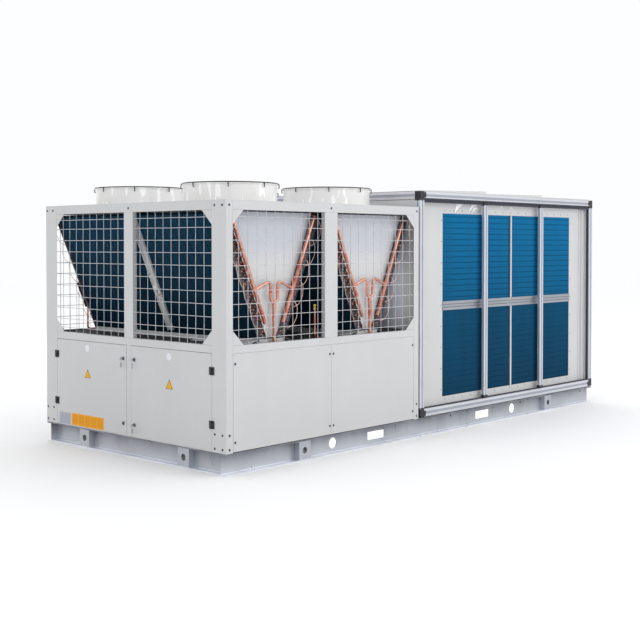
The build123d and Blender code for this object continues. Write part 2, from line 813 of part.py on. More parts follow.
for name, (x, y) in compressors.items():
    with BuildPart() as crankshaft:
        with Locations((x, y, (250 + frame_z + 20) / 2)):
            Cylinder(shaft_radius, frame_z + 20 - 250)
        with Locations((x + orbit_radius, y, frame_z + 36)):
            Cylinder(crank_pin_radius, 32)
        with Locations((x, y, stator_z)):
            Cylinder(59.4, stator_height)
        block((x - 45, x), (y - 30, y + 30), (425, 470))
    crankshaft.part.label = f"compressor_crankshaft_{name}"
    export_step(crankshaft.part, f"parts/compressor_crankshaft_{name}.step")

    with BuildPart() as orbiting_scroll:
        centre = (x + orbit_radius, y)
        with Locations((*centre, plate_z + 4)):
            Cylinder(62, 8)
        with Locations((*centre, plate_z - 15)):
            Cylinder(20, 30)
            Cylinder(crank_pin_radius + running, 30, mode=Mode.SUBTRACT)
        with BuildSketch(Plane.XY.offset(plate_z + 8)):
            wrap_face(*centre, pi)
        extrude(amount=wrap_height - 0.3)
    orbiting_scroll.part.label = f"orbiting_scroll_{name}"
    export_step(orbiting_scroll.part, f"parts/orbiting_scroll_{name}.step")

with BuildPart() as liquid_receivers:
    for x, y in receivers:
        with Locations((x, y, shell_bottom + receiver_height / 2)):
            Cylinder(receiver_radius, receiver_height)
    fillet(liquid_receivers.edges(), 40)
    with Locations(*[(x, y, 179) for x, y in receivers]):
        Cylinder(70, 30)
liquid_receivers.part.label = "liquid_receivers"
export_step(liquid_receivers.part, "parts/liquid_receivers.step")

# ---------------------------------------------------------------- electrical compartment
plate_x = left + 330
contactors = [-760, -690, -620, -550, -480, -410]
breakers = [90 + 40 * number for number in range(12)]
with BuildPart() as electrical_panel:
    folded((plate_x, plate_x + 25), (-880, 880), (200, 840), "+x")
    with Locations(*[(plate_x - 46, y, 640) for y in contactors]):
        Box(90, 56, 90)
    with Locations(*[(plate_x - 36, y, 660) for y in breakers]):
        Box(70, 34, 85)
    with Locations((plate_x - 41, -580, 400)):
        Box(80, 420, 150)
    with Locations((plate_x - 91, 300, 400)):
        Box(180, 260, 230)
    with Locations((plate_x - 26, 0, 250)):
        Box(50, 1500, 30)
electrical_panel.part.label = "electrical_panel"
export_step(electrical_panel.part, "parts/electrical_panel.step")

# ---------------------------------------------------------------- air-handling frame
left_profile = (air_left, air_left + profile)
right_profile = (right - profile, right)
front_profile = (front, front + profile)
rear_profile = (rear - profile, rear)
lower_rail = (air_section_bottom, post_bottom)
upper_rail = (post_top, air_section_top)


def tube(x, y, z, run):
    """A hollow aluminium profile along one axis."""
    block(x, y, z)
    inner = {
        axis: span if axis == run else (span[0] + 3, span[1] - 3)
        for axis, span in (("x", x), ("y", y), ("z", z))
    }
    block(inner["x"], inner["y"], inner["z"], mode=Mode.SUBTRACT)


between_x = (left_profile[1] + seam, right_profile[0] - seam)
between_y = (front_profile[1] + seam, rear_profile[0] - seam)
between_z = (post_bottom + seam, post_top - seam)
with BuildPart() as air_section_frame:
    for x in (left_profile, right_profile):
        for y in (front_profile, rear_profile):
            tube(x, y, between_z, "z")
    for z in (lower_rail, upper_rail):
        for y in (front_profile, rear_profile):
            tube(between_x, y, z, "x")
        for x in (left_profile, right_profile):
            tube(x, between_y, z, "y")
air_section_frame.part.label = "air_section_frame"
export_step(air_section_frame.part, "parts/air_section_frame.step")

cap = 20
with BuildPart() as corner_blocks:
    for x in (left_profile, right_profile):
        for y in (front_profile, rear_profile):
            for z in (lower_rail, upper_rail):
                block(x, y, z)
    for x in air_mullions:
        for y in ((front, front + mullion_depth + 2), (rear - mullion_depth - 2, rear)):
            for z in ((post_bottom + seam, post_bottom + cap), (post_top - cap, post_top - seam)):
                block((x - 2, x + profile + 2), y, z)
corner_blocks.part.label = "corner_blocks"
export_step(corner_blocks.part, "parts/corner_blocks.step")

with BuildPart() as air_section_mullions:
    for x in air_mullions:
        for y in ((front, front + mullion_depth), (rear - mullion_depth, rear)):
            tube((x, x + profile), y, (post_bottom + cap + seam, post_top - cap - seam), "z")
air_section_mullions.part.label = "air_section_mullions"
export_step(air_section_mullions.part, "parts/air_section_mullions.step")

with BuildPart() as coil_surround:
    folded(between_x, (front + mullion_depth + 4, front + recess + sheet), between_z, "-y")
    block(coil_x, (front + recess - 10, front + recess + 10), coil_z, mode=Mode.SUBTRACT)
coil_surround.part.label = "coil_surround"
export_step(coil_surround.part, "parts/coil_surround.step")

coil_front = front + recess + sheet + seam
with BuildPart() as evaporator_coil:
    for z in ((coil_z[0], coil_rail_z[0] - seam), (coil_rail_z[1] + seam, coil_z[1])):
        block(coil_x, (coil_front, coil_front + coil_depth), z)
evaporator_coil.part.label = "evaporator_coil"
export_step(evaporator_coil.part, "parts/evaporator_coil.step")

with BuildPart() as coil_middle_rail:
    folded((coil_x[0] + 1, coil_x[1] - 1), (front + recess - 8, coil_front + coil_depth), coil_rail_z, "+y")
    for z in ((coil_z[0] + 1, coil_rail_z[0] - seam), (coil_rail_z[1] + seam, coil_z[1] - 1)):
        block((coil_divider_x - 21, coil_divider_x + 21), (front + recess - 8, coil_front - seam), z)
coil_middle_rail.part.label = "coil_middle_rail"
export_step(coil_middle_rail.part, "parts/coil_middle_rail.step")

seams_x = [between_x[0] - profile, air_mullions[0] + 30, air_mullions[1] + 30, right]
with BuildPart() as air_section_roof:
    for number in range(3):
        low, high = seams_x[number] + 1, seams_x[number + 1] - 1
        with BuildSketch(facing_y(rear - 4)):
            with BuildLine():
                Polyline(
                    (low, air_section_top + seam), (high, air_section_top + seam),
                    (high, air_section_top + roof_rise[number]), (low, air_section_top + 6),
                    close=True,
                )
            make_face()
        extrude(amount=width - 8)
air_section_roof.part.label = "air_section_roof"
export_step(air_section_roof.part, "parts/air_section_roof.step")

outlet_z = (blower_z, blower_z + outlet_height)
wall_y = (between_y[0] + 1, between_y[1] - 1)
wall_z = (between_z[0] + 1, between_z[1] - 1)
rear_wall = (rear - wall - 5, rear - 5)
with BuildPart() as air_section_walls:
    block((air_left + 8, air_left + 8 + wall), wall_y, wall_z)
    block((right - duct_flange - wall, right - duct_flange), wall_y, wall_z)
    for y in blower_y:
        block((right - 200, right), (y - blower_width / 2, y + blower_width / 2), outlet_z,
              mode=Mode.SUBTRACT)
    block((between_x[0] + 1, air_mullions[0] - 3), rear_wall, wall_z)
    block((air_mullions[1] + profile + 3, between_x[1] - 1), rear_wall, wall_z)
air_section_walls.part.label = "air_section_walls"
export_step(air_section_walls.part, "parts/air_section_walls.step")

with BuildPart() as air_section_floor:
    block(between_x, wall_y, (air_section_bottom + 4, post_bottom - 4))
    folded((coil_x[0] - 30, coil_x[1] + 30), (coil_front, coil_front + 240),
           (post_bottom + 1, coil_z[0] - 8), "+z")
air_section_floor.part.label = "air_section_floor"
export_step(air_section_floor.part, "parts/air_section_floor.step")

# ---------------------------------------------------------------- rear access door
latch_x = access_x[1] - 70
latch_heights = {"lower": 520, "upper": 1730}
with BuildPart() as access_door:
    block(access_x, (rear - wall - 5, rear), access_z)
    for height in access_hinge_heights:
        z = (height - hinge_length / 2, height + hinge_length / 2)
        hx, hy = access_hinge
        middle = (z[0] + third, z[1] - third)
        block((hx + leaf_reach[0], hx + leaf_reach[1]), (rear, rear + leaf), z)
        block((hx, hx + leaf_web[1]), (rear, rear + leaf_web[0]), middle)
        with Locations((hx, hy, height)):
            Cylinder(knuckle_radius, third)
            Cylinder(pin_radius + running, third, mode=Mode.SUBTRACT)
    with Locations(*[(latch_x, rear, z) for z in latch_heights.values()]):
        Cylinder(8 + running, 200, rotation=(90, 0, 0), mode=Mode.SUBTRACT)
access_door.part.label = "access_door"
export_step(access_door.part, "parts/access_door.step")

for level, z in latch_heights.items():
    with BuildPart() as latch:
        with Locations((latch_x, rear - 20, z)):
            Cylinder(8, 84, rotation=(90, 0, 0))
        with Locations((latch_x, rear + 6.3, z)):
            Cylinder(22, 12, rotation=(90, 0, 0))
        with BuildSketch(facing_y(rear + 34)):
            with Locations((latch_x, z - 50)):
                RectangleRounded(26, 140, 10)
        extrude(amount=12)
        with Locations((latch_x, rear + 16, z)):
            Cylinder(11, 14, rotation=(90, 0, 0))
        block((latch_x - 10, latch_x + 10), (rear - 62, rear - 56), (z - 12, z + 110))
    latch.part.label = f"{level}_access_latch"
    export_step(latch.part, f"parts/{level}_access_latch.step")

# ---------------------------------------------------------------- supply blower
outlet_x = right - duct_flange - wall - 1


def housing_outline(gap):
    """The spiral of a blower housing with its outlet duct, in X and Z."""
    points = []
    tightest = wheel_radius + throat_gap
    for step in range(32):
        angle = radians(90 + 270 * step / 32)
        radius = tightest + (outlet_height - tightest) * (1 - step / 32) - gap
        points.append((blower_x + radius * cos(angle), blower_z + radius * sin(angle)))
    return points + [(blower_x + tightest - gap, blower_z + gap)]


with BuildPart() as blower_housings:
    for y in blower_y:
        for gap, half, cut in ((0, blower_width / 2, Mode.ADD), (3, blower_width / 2 - 3, Mode.SUBTRACT)):
            with BuildSketch(facing_y(y + half)):
                outline = housing_outline(gap)
                with BuildLine():
                    Spline(*outline)
                    Polyline(outline[-1], (outlet_x, outlet_z[0] + gap),
                             (outlet_x, outlet_z[1] - gap), outline[0])
                make_face()
            extrude(amount=2 * half, mode=cut)
        block((outlet_x - 20, outlet_x + 20), (y - blower_width / 2 + 3, y + blower_width / 2 - 3),
              (outlet_z[0] + 3, outlet_z[1] - 3), mode=Mode.SUBTRACT)
        with Locations((blower_x, y, blower_z)):
            Cylinder(190, 600, rotation=(90, 0, 0), mode=Mode.SUBTRACT)
blower_housings.part.label = "blower_housings"
export_step(blower_housings.part, "parts/blower_housings.step")


def pulley(x, y, z, radius):
    """A grooved belt pulley on an axis along Y."""
    with Locations((x, y, z)):
        Cylinder(radius + 12, 26, rotation=(90, 0, 0))
    with Locations((x, y, z)):
        Cylinder(radius + 30, 14, rotation=(90, 0, 0), mode=Mode.SUBTRACT)
        Cylinder(radius, 14, rotation=(90, 0, 0))


with BuildPart() as blower_shaft:
    pulley(blower_x, drive_y, blower_z, blower_pulley)
    with Locations((blower_x, 10, blower_z)):
        Cylinder(blower_shaft_radius, 1700, rotation=(90, 0, 0))
blower_shaft.part.label = "blower_shaft"
export_step(blower_shaft.part, "parts/blower_shaft.step")

with BuildPart() as one_wheel:
    with BuildSketch(Plane.XY.offset(-wheel_width / 2)):
        with PolarLocations(wheel_radius - 19, wheel_blades):
            Rectangle(38, 2.5, rotation=35)
    extrude(amount=wheel_width)
    for z in (-wheel_width / 2 + 3, wheel_width / 2 - 3):
        with Locations((0, 0, z)):
            Cylinder(wheel_radius, 6)
            Cylinder(wheel_radius - 42, 6, mode=Mode.SUBTRACT)
    Cylinder(wheel_radius, 6)
    Cylinder(45, 90)
    Cylinder(blower_shaft_radius + running, 200, mode=Mode.SUBTRACT)

with BuildPart() as blower_wheels:
    with Locations(*[Location((blower_x, y, blower_z), (90, 0, 0)) for y in blower_y]):
        add(one_wheel.part)
blower_wheels.part.label = "blower_wheels"
export_step(blower_wheels.part, "parts/blower_wheels.step")

bearing_y = (-740, 0, 720)
with BuildPart() as blower_supports:
    for y in bearing_y:
        block((blower_x - 60, blower_x + 60), (y - 22, y + 22), (blower_z - 45, blower_z + 45))
        block((blower_x - 40, blower_x + 40), (y - 30, y + 30), (post_bottom - 3.5, blower_z - 45))
    with Locations((blower_x, 0, blower_z)):
        Cylinder(blower_shaft_radius + running, 1900, rotation=(90, 0, 0), mode=Mode.SUBTRACT)
    for y in blower_y:
        block((blower_x - 250, blower_x + 250), (y - 20, y + 20), (post_bottom - 3.5, post_bottom + 40))
        block((blower_x - 20, blower_x + 20), (y - 20, y + 20),
              (post_bottom + 40, blower_z - wheel_radius - 140))
    with Locations((motor_x, drive_y - 260, motor_z)):
        Cylinder(120, 360, rotation=(90, 0, 0))
        Cylinder(14 + running, 400, rotation=(90, 0, 0), mode=Mode.SUBTRACT)
    block((motor_x - 130, motor_x + 130), (drive_y - 400, drive_y - 120), (post_bottom - 3.5, 310))
blower_supports.part.label = "blower_supports"
export_step(blower_supports.part, "parts/blower_supports.step")

with BuildPart() as motor_rotor:
    pulley(motor_x, drive_y, motor_z, motor_pulley)
    with Locations((motor_x, drive_y - 200, motor_z)):
        Cylinder(14, 460, rotation=(90, 0, 0))
motor_rotor.part.label = "motor_rotor"
export_step(motor_rotor.part, "parts/motor_rotor.step")

belt_half = 6


def belt_outline(extra):
    """The outside of a belt that wraps both pulleys, grown by a thickness."""
    big, small = blower_pulley + extra, motor_pulley + extra
    dx, dz = motor_x - blower_x, motor_z - blower_z
    span_length = hypot(dx, dz)
    heading = atan2(dz, dx)
    tilt = atan2(big - small, (span_length**2 - (big - small) ** 2) ** 0.5)

    def at(centre, radius, angle):
        return (centre[0] + radius * cos(angle), centre[1] + radius * sin(angle))

    big_centre, small_centre = (blower_x, blower_z), (motor_x, motor_z)
    up, down = heading + pi / 2 - tilt, heading - pi / 2 + tilt
    with BuildLine() as outline:
        Line(at(big_centre, big, up), at(small_centre, small, up))
        ThreePointArc(at(small_centre, small, up), at(small_centre, small, heading),
                      at(small_centre, small, down))
        Line(at(small_centre, small, down), at(big_centre, big, down))
        ThreePointArc(at(big_centre, big, down), at(big_centre, big, heading + pi),
                      at(big_centre, big, up))
    make_face(outline.edges())


with BuildPart() as drive_belt:
    with BuildSketch(facing_y(drive_y + belt_half)):
        belt_outline(10)
    extrude(amount=2 * belt_half)
    with BuildSketch(facing_y(drive_y + belt_half)):
        belt_outline(0.5)
    extrude(amount=2 * belt_half, mode=Mode.SUBTRACT)
drive_belt.part.label = "drive_belt"
export_step(drive_belt.part, "parts/drive_belt.step")

flange_width = 40
flange_holes = (blower_width + flange_width, outlet_height + flange_width)
with BuildPart() as supply_duct_flanges:
    for y in blower_y:
        with BuildSketch(facing_x(right - duct_flange + seam)):
            with Locations((y, (outlet_z[0] + outlet_z[1]) / 2)):
                Rectangle(blower_width + 2 * flange_width, outlet_height + 2 * flange_width)
                Rectangle(blower_width, outlet_height, mode=Mode.SUBTRACT)
                with GridLocations(*flange_holes, 2, 2):
                    Circle(5.5, mode=Mode.SUBTRACT)
        extrude(amount=duct_flange - seam)
supply_duct_flanges.part.label = "supply_duct_flanges"
export_step(supply_duct_flanges.part, "parts/supply_duct_flanges.step")
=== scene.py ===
"""Looks of a packaged rooftop air-conditioning unit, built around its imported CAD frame.

Metres, +Z up. The condenser section stands at -X and the air-handling section at +X.
The front is the long side at -Y, where the blue intake coil shows.
"""
import json
import random
from math import ceil, cos, pi, radians, sin, tan

import bmesh
import bpy
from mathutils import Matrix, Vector


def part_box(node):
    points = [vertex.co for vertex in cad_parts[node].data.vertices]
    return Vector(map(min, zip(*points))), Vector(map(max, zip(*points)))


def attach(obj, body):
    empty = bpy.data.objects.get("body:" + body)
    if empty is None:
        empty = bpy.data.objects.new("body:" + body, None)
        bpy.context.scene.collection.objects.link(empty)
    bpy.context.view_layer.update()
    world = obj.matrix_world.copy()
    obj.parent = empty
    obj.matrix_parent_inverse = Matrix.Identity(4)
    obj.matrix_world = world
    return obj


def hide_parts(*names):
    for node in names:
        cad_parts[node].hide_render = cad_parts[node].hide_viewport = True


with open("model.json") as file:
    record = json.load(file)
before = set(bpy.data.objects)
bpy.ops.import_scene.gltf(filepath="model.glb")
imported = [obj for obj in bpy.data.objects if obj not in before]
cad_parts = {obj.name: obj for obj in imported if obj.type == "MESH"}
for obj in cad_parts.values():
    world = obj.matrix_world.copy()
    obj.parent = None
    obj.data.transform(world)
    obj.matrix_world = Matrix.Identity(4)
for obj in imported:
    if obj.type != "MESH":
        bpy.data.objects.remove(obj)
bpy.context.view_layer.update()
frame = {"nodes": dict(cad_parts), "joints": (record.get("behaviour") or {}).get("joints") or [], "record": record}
chance = random.Random(11)

X, Y, Z = Vector((1, 0, 0)), Vector((0, 1, 0)), Vector((0, 0, 1))
TURNS = {"x": (Y, Z, X), "-x": (Z, Y, -X), "y": (Z, X, Y), "-y": (X, Z, -Y), "z": (X, Y, Z)}

# ---------------------------------------------------------------- places read from the frame
posts_low, posts_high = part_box("condenser_corner_posts")
air_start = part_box("air_section_frame")[0].x
base_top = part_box("base_beams")[1].z
coil_low, coil_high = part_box("evaporator_coil")
left, joint, front, rear = posts_low.x, posts_high.x, posts_low.y, posts_high.y
floor_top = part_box("compartment_floors")[1].z
guard_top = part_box("fan_guards")[1].z


def joint_place(name):
    """A point on a joint's axis, as the frame gives it."""
    return next(row["pos_m"] for row in frame["joints"] if row["name"] == name)


fan_centres = [Vector((*joint_place(f"fan_{number}_spin")[:2], 0)) for number in range(1, 5)]
slots = {part["node"]: part["material_slot"] for part in frame["record"]["subparts"]}
node_body = {node: body for body, nodes in frame["record"]["behaviour"]["bodies"].items() for node in nodes}
replaced = set()

# ---------------------------------------------------------------- driving dimensions
PIPE_PLANE = -1.025                    # the copper risers and headers all stand in this plane
RISERS = (left + 0.55, left + 1.65)    # one riser in the middle of each V
TUBE_PITCH = 0.0508                    # between the tubes of the condenser coils
HEADER_INSET = 0.036                   # from a coil's middle to its header's axis
BASE_WEB = 1.045                       # from the centre line to the outside of a long channel's web
COWL_RIM = 2.094
HINGE_HEIGHTS = (0.353, 0.736)
FIRST_BASE_BOLT, BASE_BOLT_PITCH = 0.516, 1.13
EYE = (-7.876, -6.868, 1.633)
EYE_DROP, EYE_HEADING = 1.321, -47.416     # degrees below level, and degrees round from +Y
LENS, LENS_SHIFT = 62.9, -0.0776
SURROUND_DEPTH = 0.065                 # how far the sheet round the intake coil is recessed


# ---------------------------------------------------------------- materials
class Look:
    """A material in the making. Its methods add texture nodes and return their outputs."""

    def __init__(self, name, metallic=0.0, roughness=0.5, fixed=()):
        self.material = bpy.data.materials.new(name)
        self.material.use_nodes = True
        self.tree = self.material.node_tree
        self.shader = self.tree.nodes["Principled BSDF"]
        self.shader.inputs["Metallic"].default_value = metallic
        self.shader.inputs["Roughness"].default_value = roughness
        for socket, value in fixed:
            self.shader.inputs[socket].default_value = value
        self.place = self.tree.nodes.new("ShaderNodeTexCoord").outputs["Object"]

    def add(self, kind, inputs, **settings):
        """Adds one node, linked where an input is a socket and set where it is a value."""
        node = self.tree.nodes.new("ShaderNode" + kind)
        for key, value in settings.items():
            setattr(node, key, value)
        for key, value in inputs.items():
            if isinstance(value, bpy.types.NodeSocket):
                self.tree.links.new(value, node.inputs[key])
            else:
                node.inputs[key].default_value = value
        return node

    def noise(self, scale, stretch=(1, 1, 1), detail=3.0):
        """Soft noise, stretched along an axis where its stretch is small."""
        placed = self.add("Mapping", {"Vector": self.place, "Scale": [scale * s for s in stretch]})
        return self.add("TexNoise", {"Vector": placed.outputs[0], "Scale": 1.0, "Detail": detail}).outputs[0]

    def cells(self, scale):
        """An even grey for each crystal of a cell pattern."""
        grain = self.add("TexVoronoi", {"Vector": self.place, "Scale": scale})
        return self.add("RGBToBW", {"Color": grain.outputs["Color"]}).outputs[0]

    def lines(self, pitch, axis="Z", wander=0.0):
        """1 between evenly pitched lines and 0 on them."""
        wave = self.add("TexWave", {"Vector": self.place, "Scale": pi / 10 / pitch, "Distortion": wander,
                                    "Detail": 1.0}, bands_direction=axis)
        return wave.outputs["Fac"]

    def height(self, axis="Z"):
        """The place along one axis, in metres."""
        return self.add("SeparateXYZ", {"Vector": self.place}).outputs[axis]

    def distance(self):
        """The distance from the frame's origin, in metres."""
        return self.add("VectorMath", {0: self.place}, operation="LENGTH").outputs["Value"]

    def spread(self, value, low, high, start=0.3, end=0.7):
        """Maps a value between start and end to low and high."""
        limits = {"Value": value, "From Min": start, "From Max": end, "To Min": low, "To Max": high}
        return self.add("MapRange", limits).outputs[0]

    def mix(self, factor, one, two, blend="MIX"):
        """Blends two colours."""
        return self.add("Mix", {0: factor, 6: one, 7: two}, data_type="RGBA", blend_type=blend).outputs[2]

    def finish(self, colour, roughness=None, relief=None, depth=0.0002, strength=0.5):
        """Links the colour, the roughness and the relief, and returns the material."""
        self.tree.links.new(colour, self.shader.inputs["Base Color"])
        if roughness:
            self.tree.links.new(roughness, self.shader.inputs["Roughness"])
        if relief:
            bump = self.add("Bump", {"Height": relief, "Distance": depth, "Strength": strength})
            self.tree.links.new(bump.outputs[0], self.shader.inputs["Normal"])
        return self.material


def shade(red, green, blue, times=1.0):
    """A colour with its alpha, lighter or darker by a factor."""
    return (red * times, green * times, blue * times, 1.0)


def powder_coat(name, tone, gloss=0.34, painted_shade_tone=None, axis="Z", painted_shading_band=(0, 1)):
    """Baked paint on sheet steel: orange peel, faint clouding, light dust near the ground and, where given, a
    second tone of painted shade along an axis.
    """
    look = Look(name)
    cloud = look.spread(look.noise(2.5, detail=5), 0.0, 1.0)
    streak = look.spread(look.noise(9, (1, 1, 0.08), 4), 0.0, 0.5)
    dust = look.spread(look.height(), 0.35, 0.0, 0.15, 0.75)
    colour = look.mix(cloud, shade(*tone, times=0.965), shade(*tone, times=1.02))
    colour = look.mix(streak, colour, shade(*tone, times=0.95))
    colour = look.mix(dust, colour, shade(tone[0] * 0.90, tone[1] * 0.885, tone[2] * 0.86))
    # painted shade: the colour turns to the given darker tone along the axis
    if painted_shade_tone:
        colour = look.mix(look.spread(look.height(axis), 0.0, 1.0, *painted_shading_band), colour, shade(*painted_shade_tone))
    peel = look.noise(620, detail=1)
    rough = look.spread(look.noise(14, detail=4), gloss - 0.04, gloss + 0.08)
    return look.finish(colour, rough, peel, 0.00012, 0.35)


def galvanised(name, tone, grain, metallic, gloss=0.34):
    """Zinc-coated steel: spangles of different grey and soft staining."""
    look = Look(name, metallic)
    spangle = look.spread(look.cells(grain), 0.0, 1.0, 0.15, 0.85)
    stain = look.spread(look.noise(5, (1, 1, 2), 6), 0.0, 0.7, 0.35, 0.75)
    colour = look.mix(spangle, shade(*tone, times=0.96), shade(*tone, times=1.03))
    colour = look.mix(stain, colour, shade(tone[0] * 0.88, tone[1] * 0.90, tone[2] * 0.93))
    rough = look.spread(spangle, gloss, gloss + 0.08, 0, 1)
    return look.finish(colour, rough, look.noise(160, detail=3), 0.0002, 0.25)


def rolled_zinc(name, low_tone, upper_shading_tone, painted_shading_band):
    """Hot-dipped rolled steel: smooth metal with soft runs; painted light and shade by height, dark under the
    cabinet, and a painted highlight along the lowest flange.
    """
    look = Look(name, 0.55)
    runs = look.spread(look.noise(7, (1, 1, 0.12), 4), 0.0, 0.6)
    bloom = look.spread(look.noise(3, (1, 1, 2.5), 5), 0.0, 0.5, 0.4, 0.75)
    # painted light and shade: the tone changes with height between the two given tones
    colour = look.mix(look.spread(look.height(), 0.0, 1.0, *painted_shading_band), shade(*low_tone), shade(*upper_shading_tone))
    colour = look.mix(runs, colour, look.mix(0.5, colour, shade(*low_tone, times=1.15)))
    # painted highlight: the lowest flange is toned bright along its top
    foot = look.spread(look.height(), 1.0, 0.0, 0.012, 0.018)
    colour = look.mix(foot, colour, shade(*low_tone, times=1.5))
    colour = look.mix(bloom, colour, look.mix(0.4, colour, shade(*upper_shading_tone)))
    rough = look.spread(runs, 0.26, 0.40, 0, 0.6)
    return look.finish(colour, rough, look.noise(60, (1, 1, 0.3), 2), 0.0002, 0.2)


def drawn_metal(name, tone, stretch, metallic=0.75, roughness=0.36):
    """Extruded aluminium with fine die lines along its run."""
    look = Look(name, metallic)
    lines = look.noise(900, stretch, 2)
    cloud = look.spread(look.noise(6, detail=4), 0.0, 1.0)
    colour = look.mix(cloud, shade(*tone, times=0.94), shade(*tone, times=1.03))
    colour = look.mix(look.spread(lines, 0.0, 0.35), colour, shade(*tone, times=0.82))
    rough = look.spread(lines, roughness - 0.06, roughness + 0.1)
    return look.finish(colour, rough, lines, 0.00008, 0.3)


def moulded(name, tone, roughness=0.5, grain=800):
    """Moulded plastic or cast paint: fine grain and slightly uneven gloss."""
    look = Look(name)
    cloud = look.spread(look.noise(30, detail=4), 0.0, 1.0)
    colour = look.mix(cloud, shade(*tone, times=0.85), shade(*tone, times=1.2))
    rough = look.spread(look.noise(60), roughness - 0.08, roughness + 0.1)
    return look.finish(colour, rough, look.noise(grain, detail=2), 0.00015, 0.4)


def bare_metal(name, tone, roughness=0.35, turned=260):
    """Machined or cast metal with tool marks and light oil staining."""
    look = Look(name, 0.9)
    stain = look.spread(look.noise(22, detail=6), 0.0, 1.0, 0.35, 0.7)
    colour = look.mix(stain, shade(*tone), shade(*tone, times=0.72))
    rough = look.spread(look.noise(90), roughness - 0.08, roughness + 0.12)
    return look.finish(colour, rough, look.noise(turned, (1, 1, 4), 2), 0.0002, 0.3)


def copper(name, bright, dull, marked=0.6):
    """Drawn copper tube: salmon metal, brown oxide bands and red heat marks from brazing."""
    look = Look(name, 1.0)
    oxide = look.spread(look.noise(16, detail=5), 0.0, 0.8, 0.42, 0.7)
    heat = look.spread(look.noise(7, (1, 1, 1.6), 2), 0.0, marked, 0.56, 0.66)
    colour = look.mix(oxide, shade(*bright), shade(*dull))
    colour = look.mix(heat, colour, shade(0.62, 0.07, 0.045))
    rough = look.spread(look.noise(50), 0.24, 0.42)
    return look.finish(colour, rough, look.noise(300, detail=2), 0.0001, 0.3)


def fins(name, upper, lower, z_range, pitch, axis, break_at=None):
    """Coated fin edges with painted light and shade: lighter at the top and darker towards the ground, a darker
    lower block where asked, and painted shadow streaks; with a line at every tube row and bent fins.
    """
    look = Look(name, 0.1, fixed=[("Specular IOR Level", 0.12)])
    # painted light and shade: the tone goes from lit at the top to shaded at the bottom
    painted_light_fall = look.spread(look.height(), 0.0, 1.0, *z_range)
    colour = look.mix(painted_light_fall, shade(*lower), shade(*upper))
    if break_at:
        # painted shade: the lower block of the intake coil is darker
        painted_shade_block = look.spread(look.height(), 1.0, 0.0, break_at - 0.005, break_at + 0.005)
        darker = look.mix(painted_light_fall, shade(*lower, times=0.72), shade(*upper, times=0.5))
        colour = look.mix(painted_shade_block, colour, darker)
    rows = look.spread(look.lines(pitch, axis, 0.25), 0.75, 0.0, 0.02, 0.24)
    colour = look.mix(rows, colour, look.mix(painted_light_fall, shade(*lower, times=0.42), shade(*upper, times=0.40)))
    rows = look.spread(look.lines(pitch / 2, axis, 0.4), 0.35, 0.0, 0.02, 0.3)
    colour = look.mix(rows, colour, look.mix(painted_light_fall, shade(*lower, times=0.5), shade(*upper, times=0.55)))
    # painted shade: soft vertical darker streaks stand in for shadow
    painted_shadow_bands = look.spread(look.noise(2.6, (1.8, 1, 0.2), 3), 0.0, 0.45, 0.45, 0.7)
    colour = look.mix(painted_shadow_bands, colour, look.mix(painted_light_fall, shade(*lower, times=0.7), shade(*upper, times=0.76)))
    nicks = look.spread(look.noise(34, detail=2), 0.0, 0.30, 0.73, 0.79)
    colour = look.mix(nicks, colour, shade(0.10, 0.36, 0.55))
    rough = look.spread(look.noise(120), 0.42, 0.62)
    return look.finish(colour, rough, look.noise(700, (1, 1, 0.4), 1), 0.0002, 0.4)


def filmed_paint(name, tone):
    """White paint still under its protective film: glossy and creased, with painted shade in the creases and pale
    streaks of painted glare.
    """
    look = Look(name, fixed=[("Coat Weight", 0.6), ("Coat Roughness", 0.08)])
    creases = look.noise(7, (1, 1, 0.45), 2)
    # painted reflection: pale streaks of glare in the colour
    painted_glare_strokes = look.spread(look.noise(13, (1.4, 1.4, 0.45), 1), 0.0, 0.9, 0.60, 0.64)
    # painted shade along the creases
    shadow = look.spread(creases, 0.0, 0.5, 0.5, 0.7)
    colour = look.mix(shadow, shade(*tone), shade(tone[0] * 0.90, tone[1] * 0.89, tone[2] * 0.86))
    colour = look.mix(painted_glare_strokes, colour, shade(0.97, 0.97, 0.97))
    rough = look.spread(creases, 0.16, 0.34)
    return look.finish(colour, rough, creases, 0.004, 0.3)


def vinyl(name, tone, roughness=0.38):
    """A plain printed label: even film over print with a fine dither."""
    look = Look(name, fixed=[("Specular IOR Level", 0.2)])
    print_grain = look.spread(look.noise(420, detail=2), 0.0, 1.0)
    colour = look.mix(print_grain, shade(*tone, times=0.95), shade(*tone, times=1.04))
    rough = look.spread(look.noise(80), roughness - 0.05, roughness + 0.06)
    return look.finish(colour, rough, look.noise(150), 0.0001, 0.15)


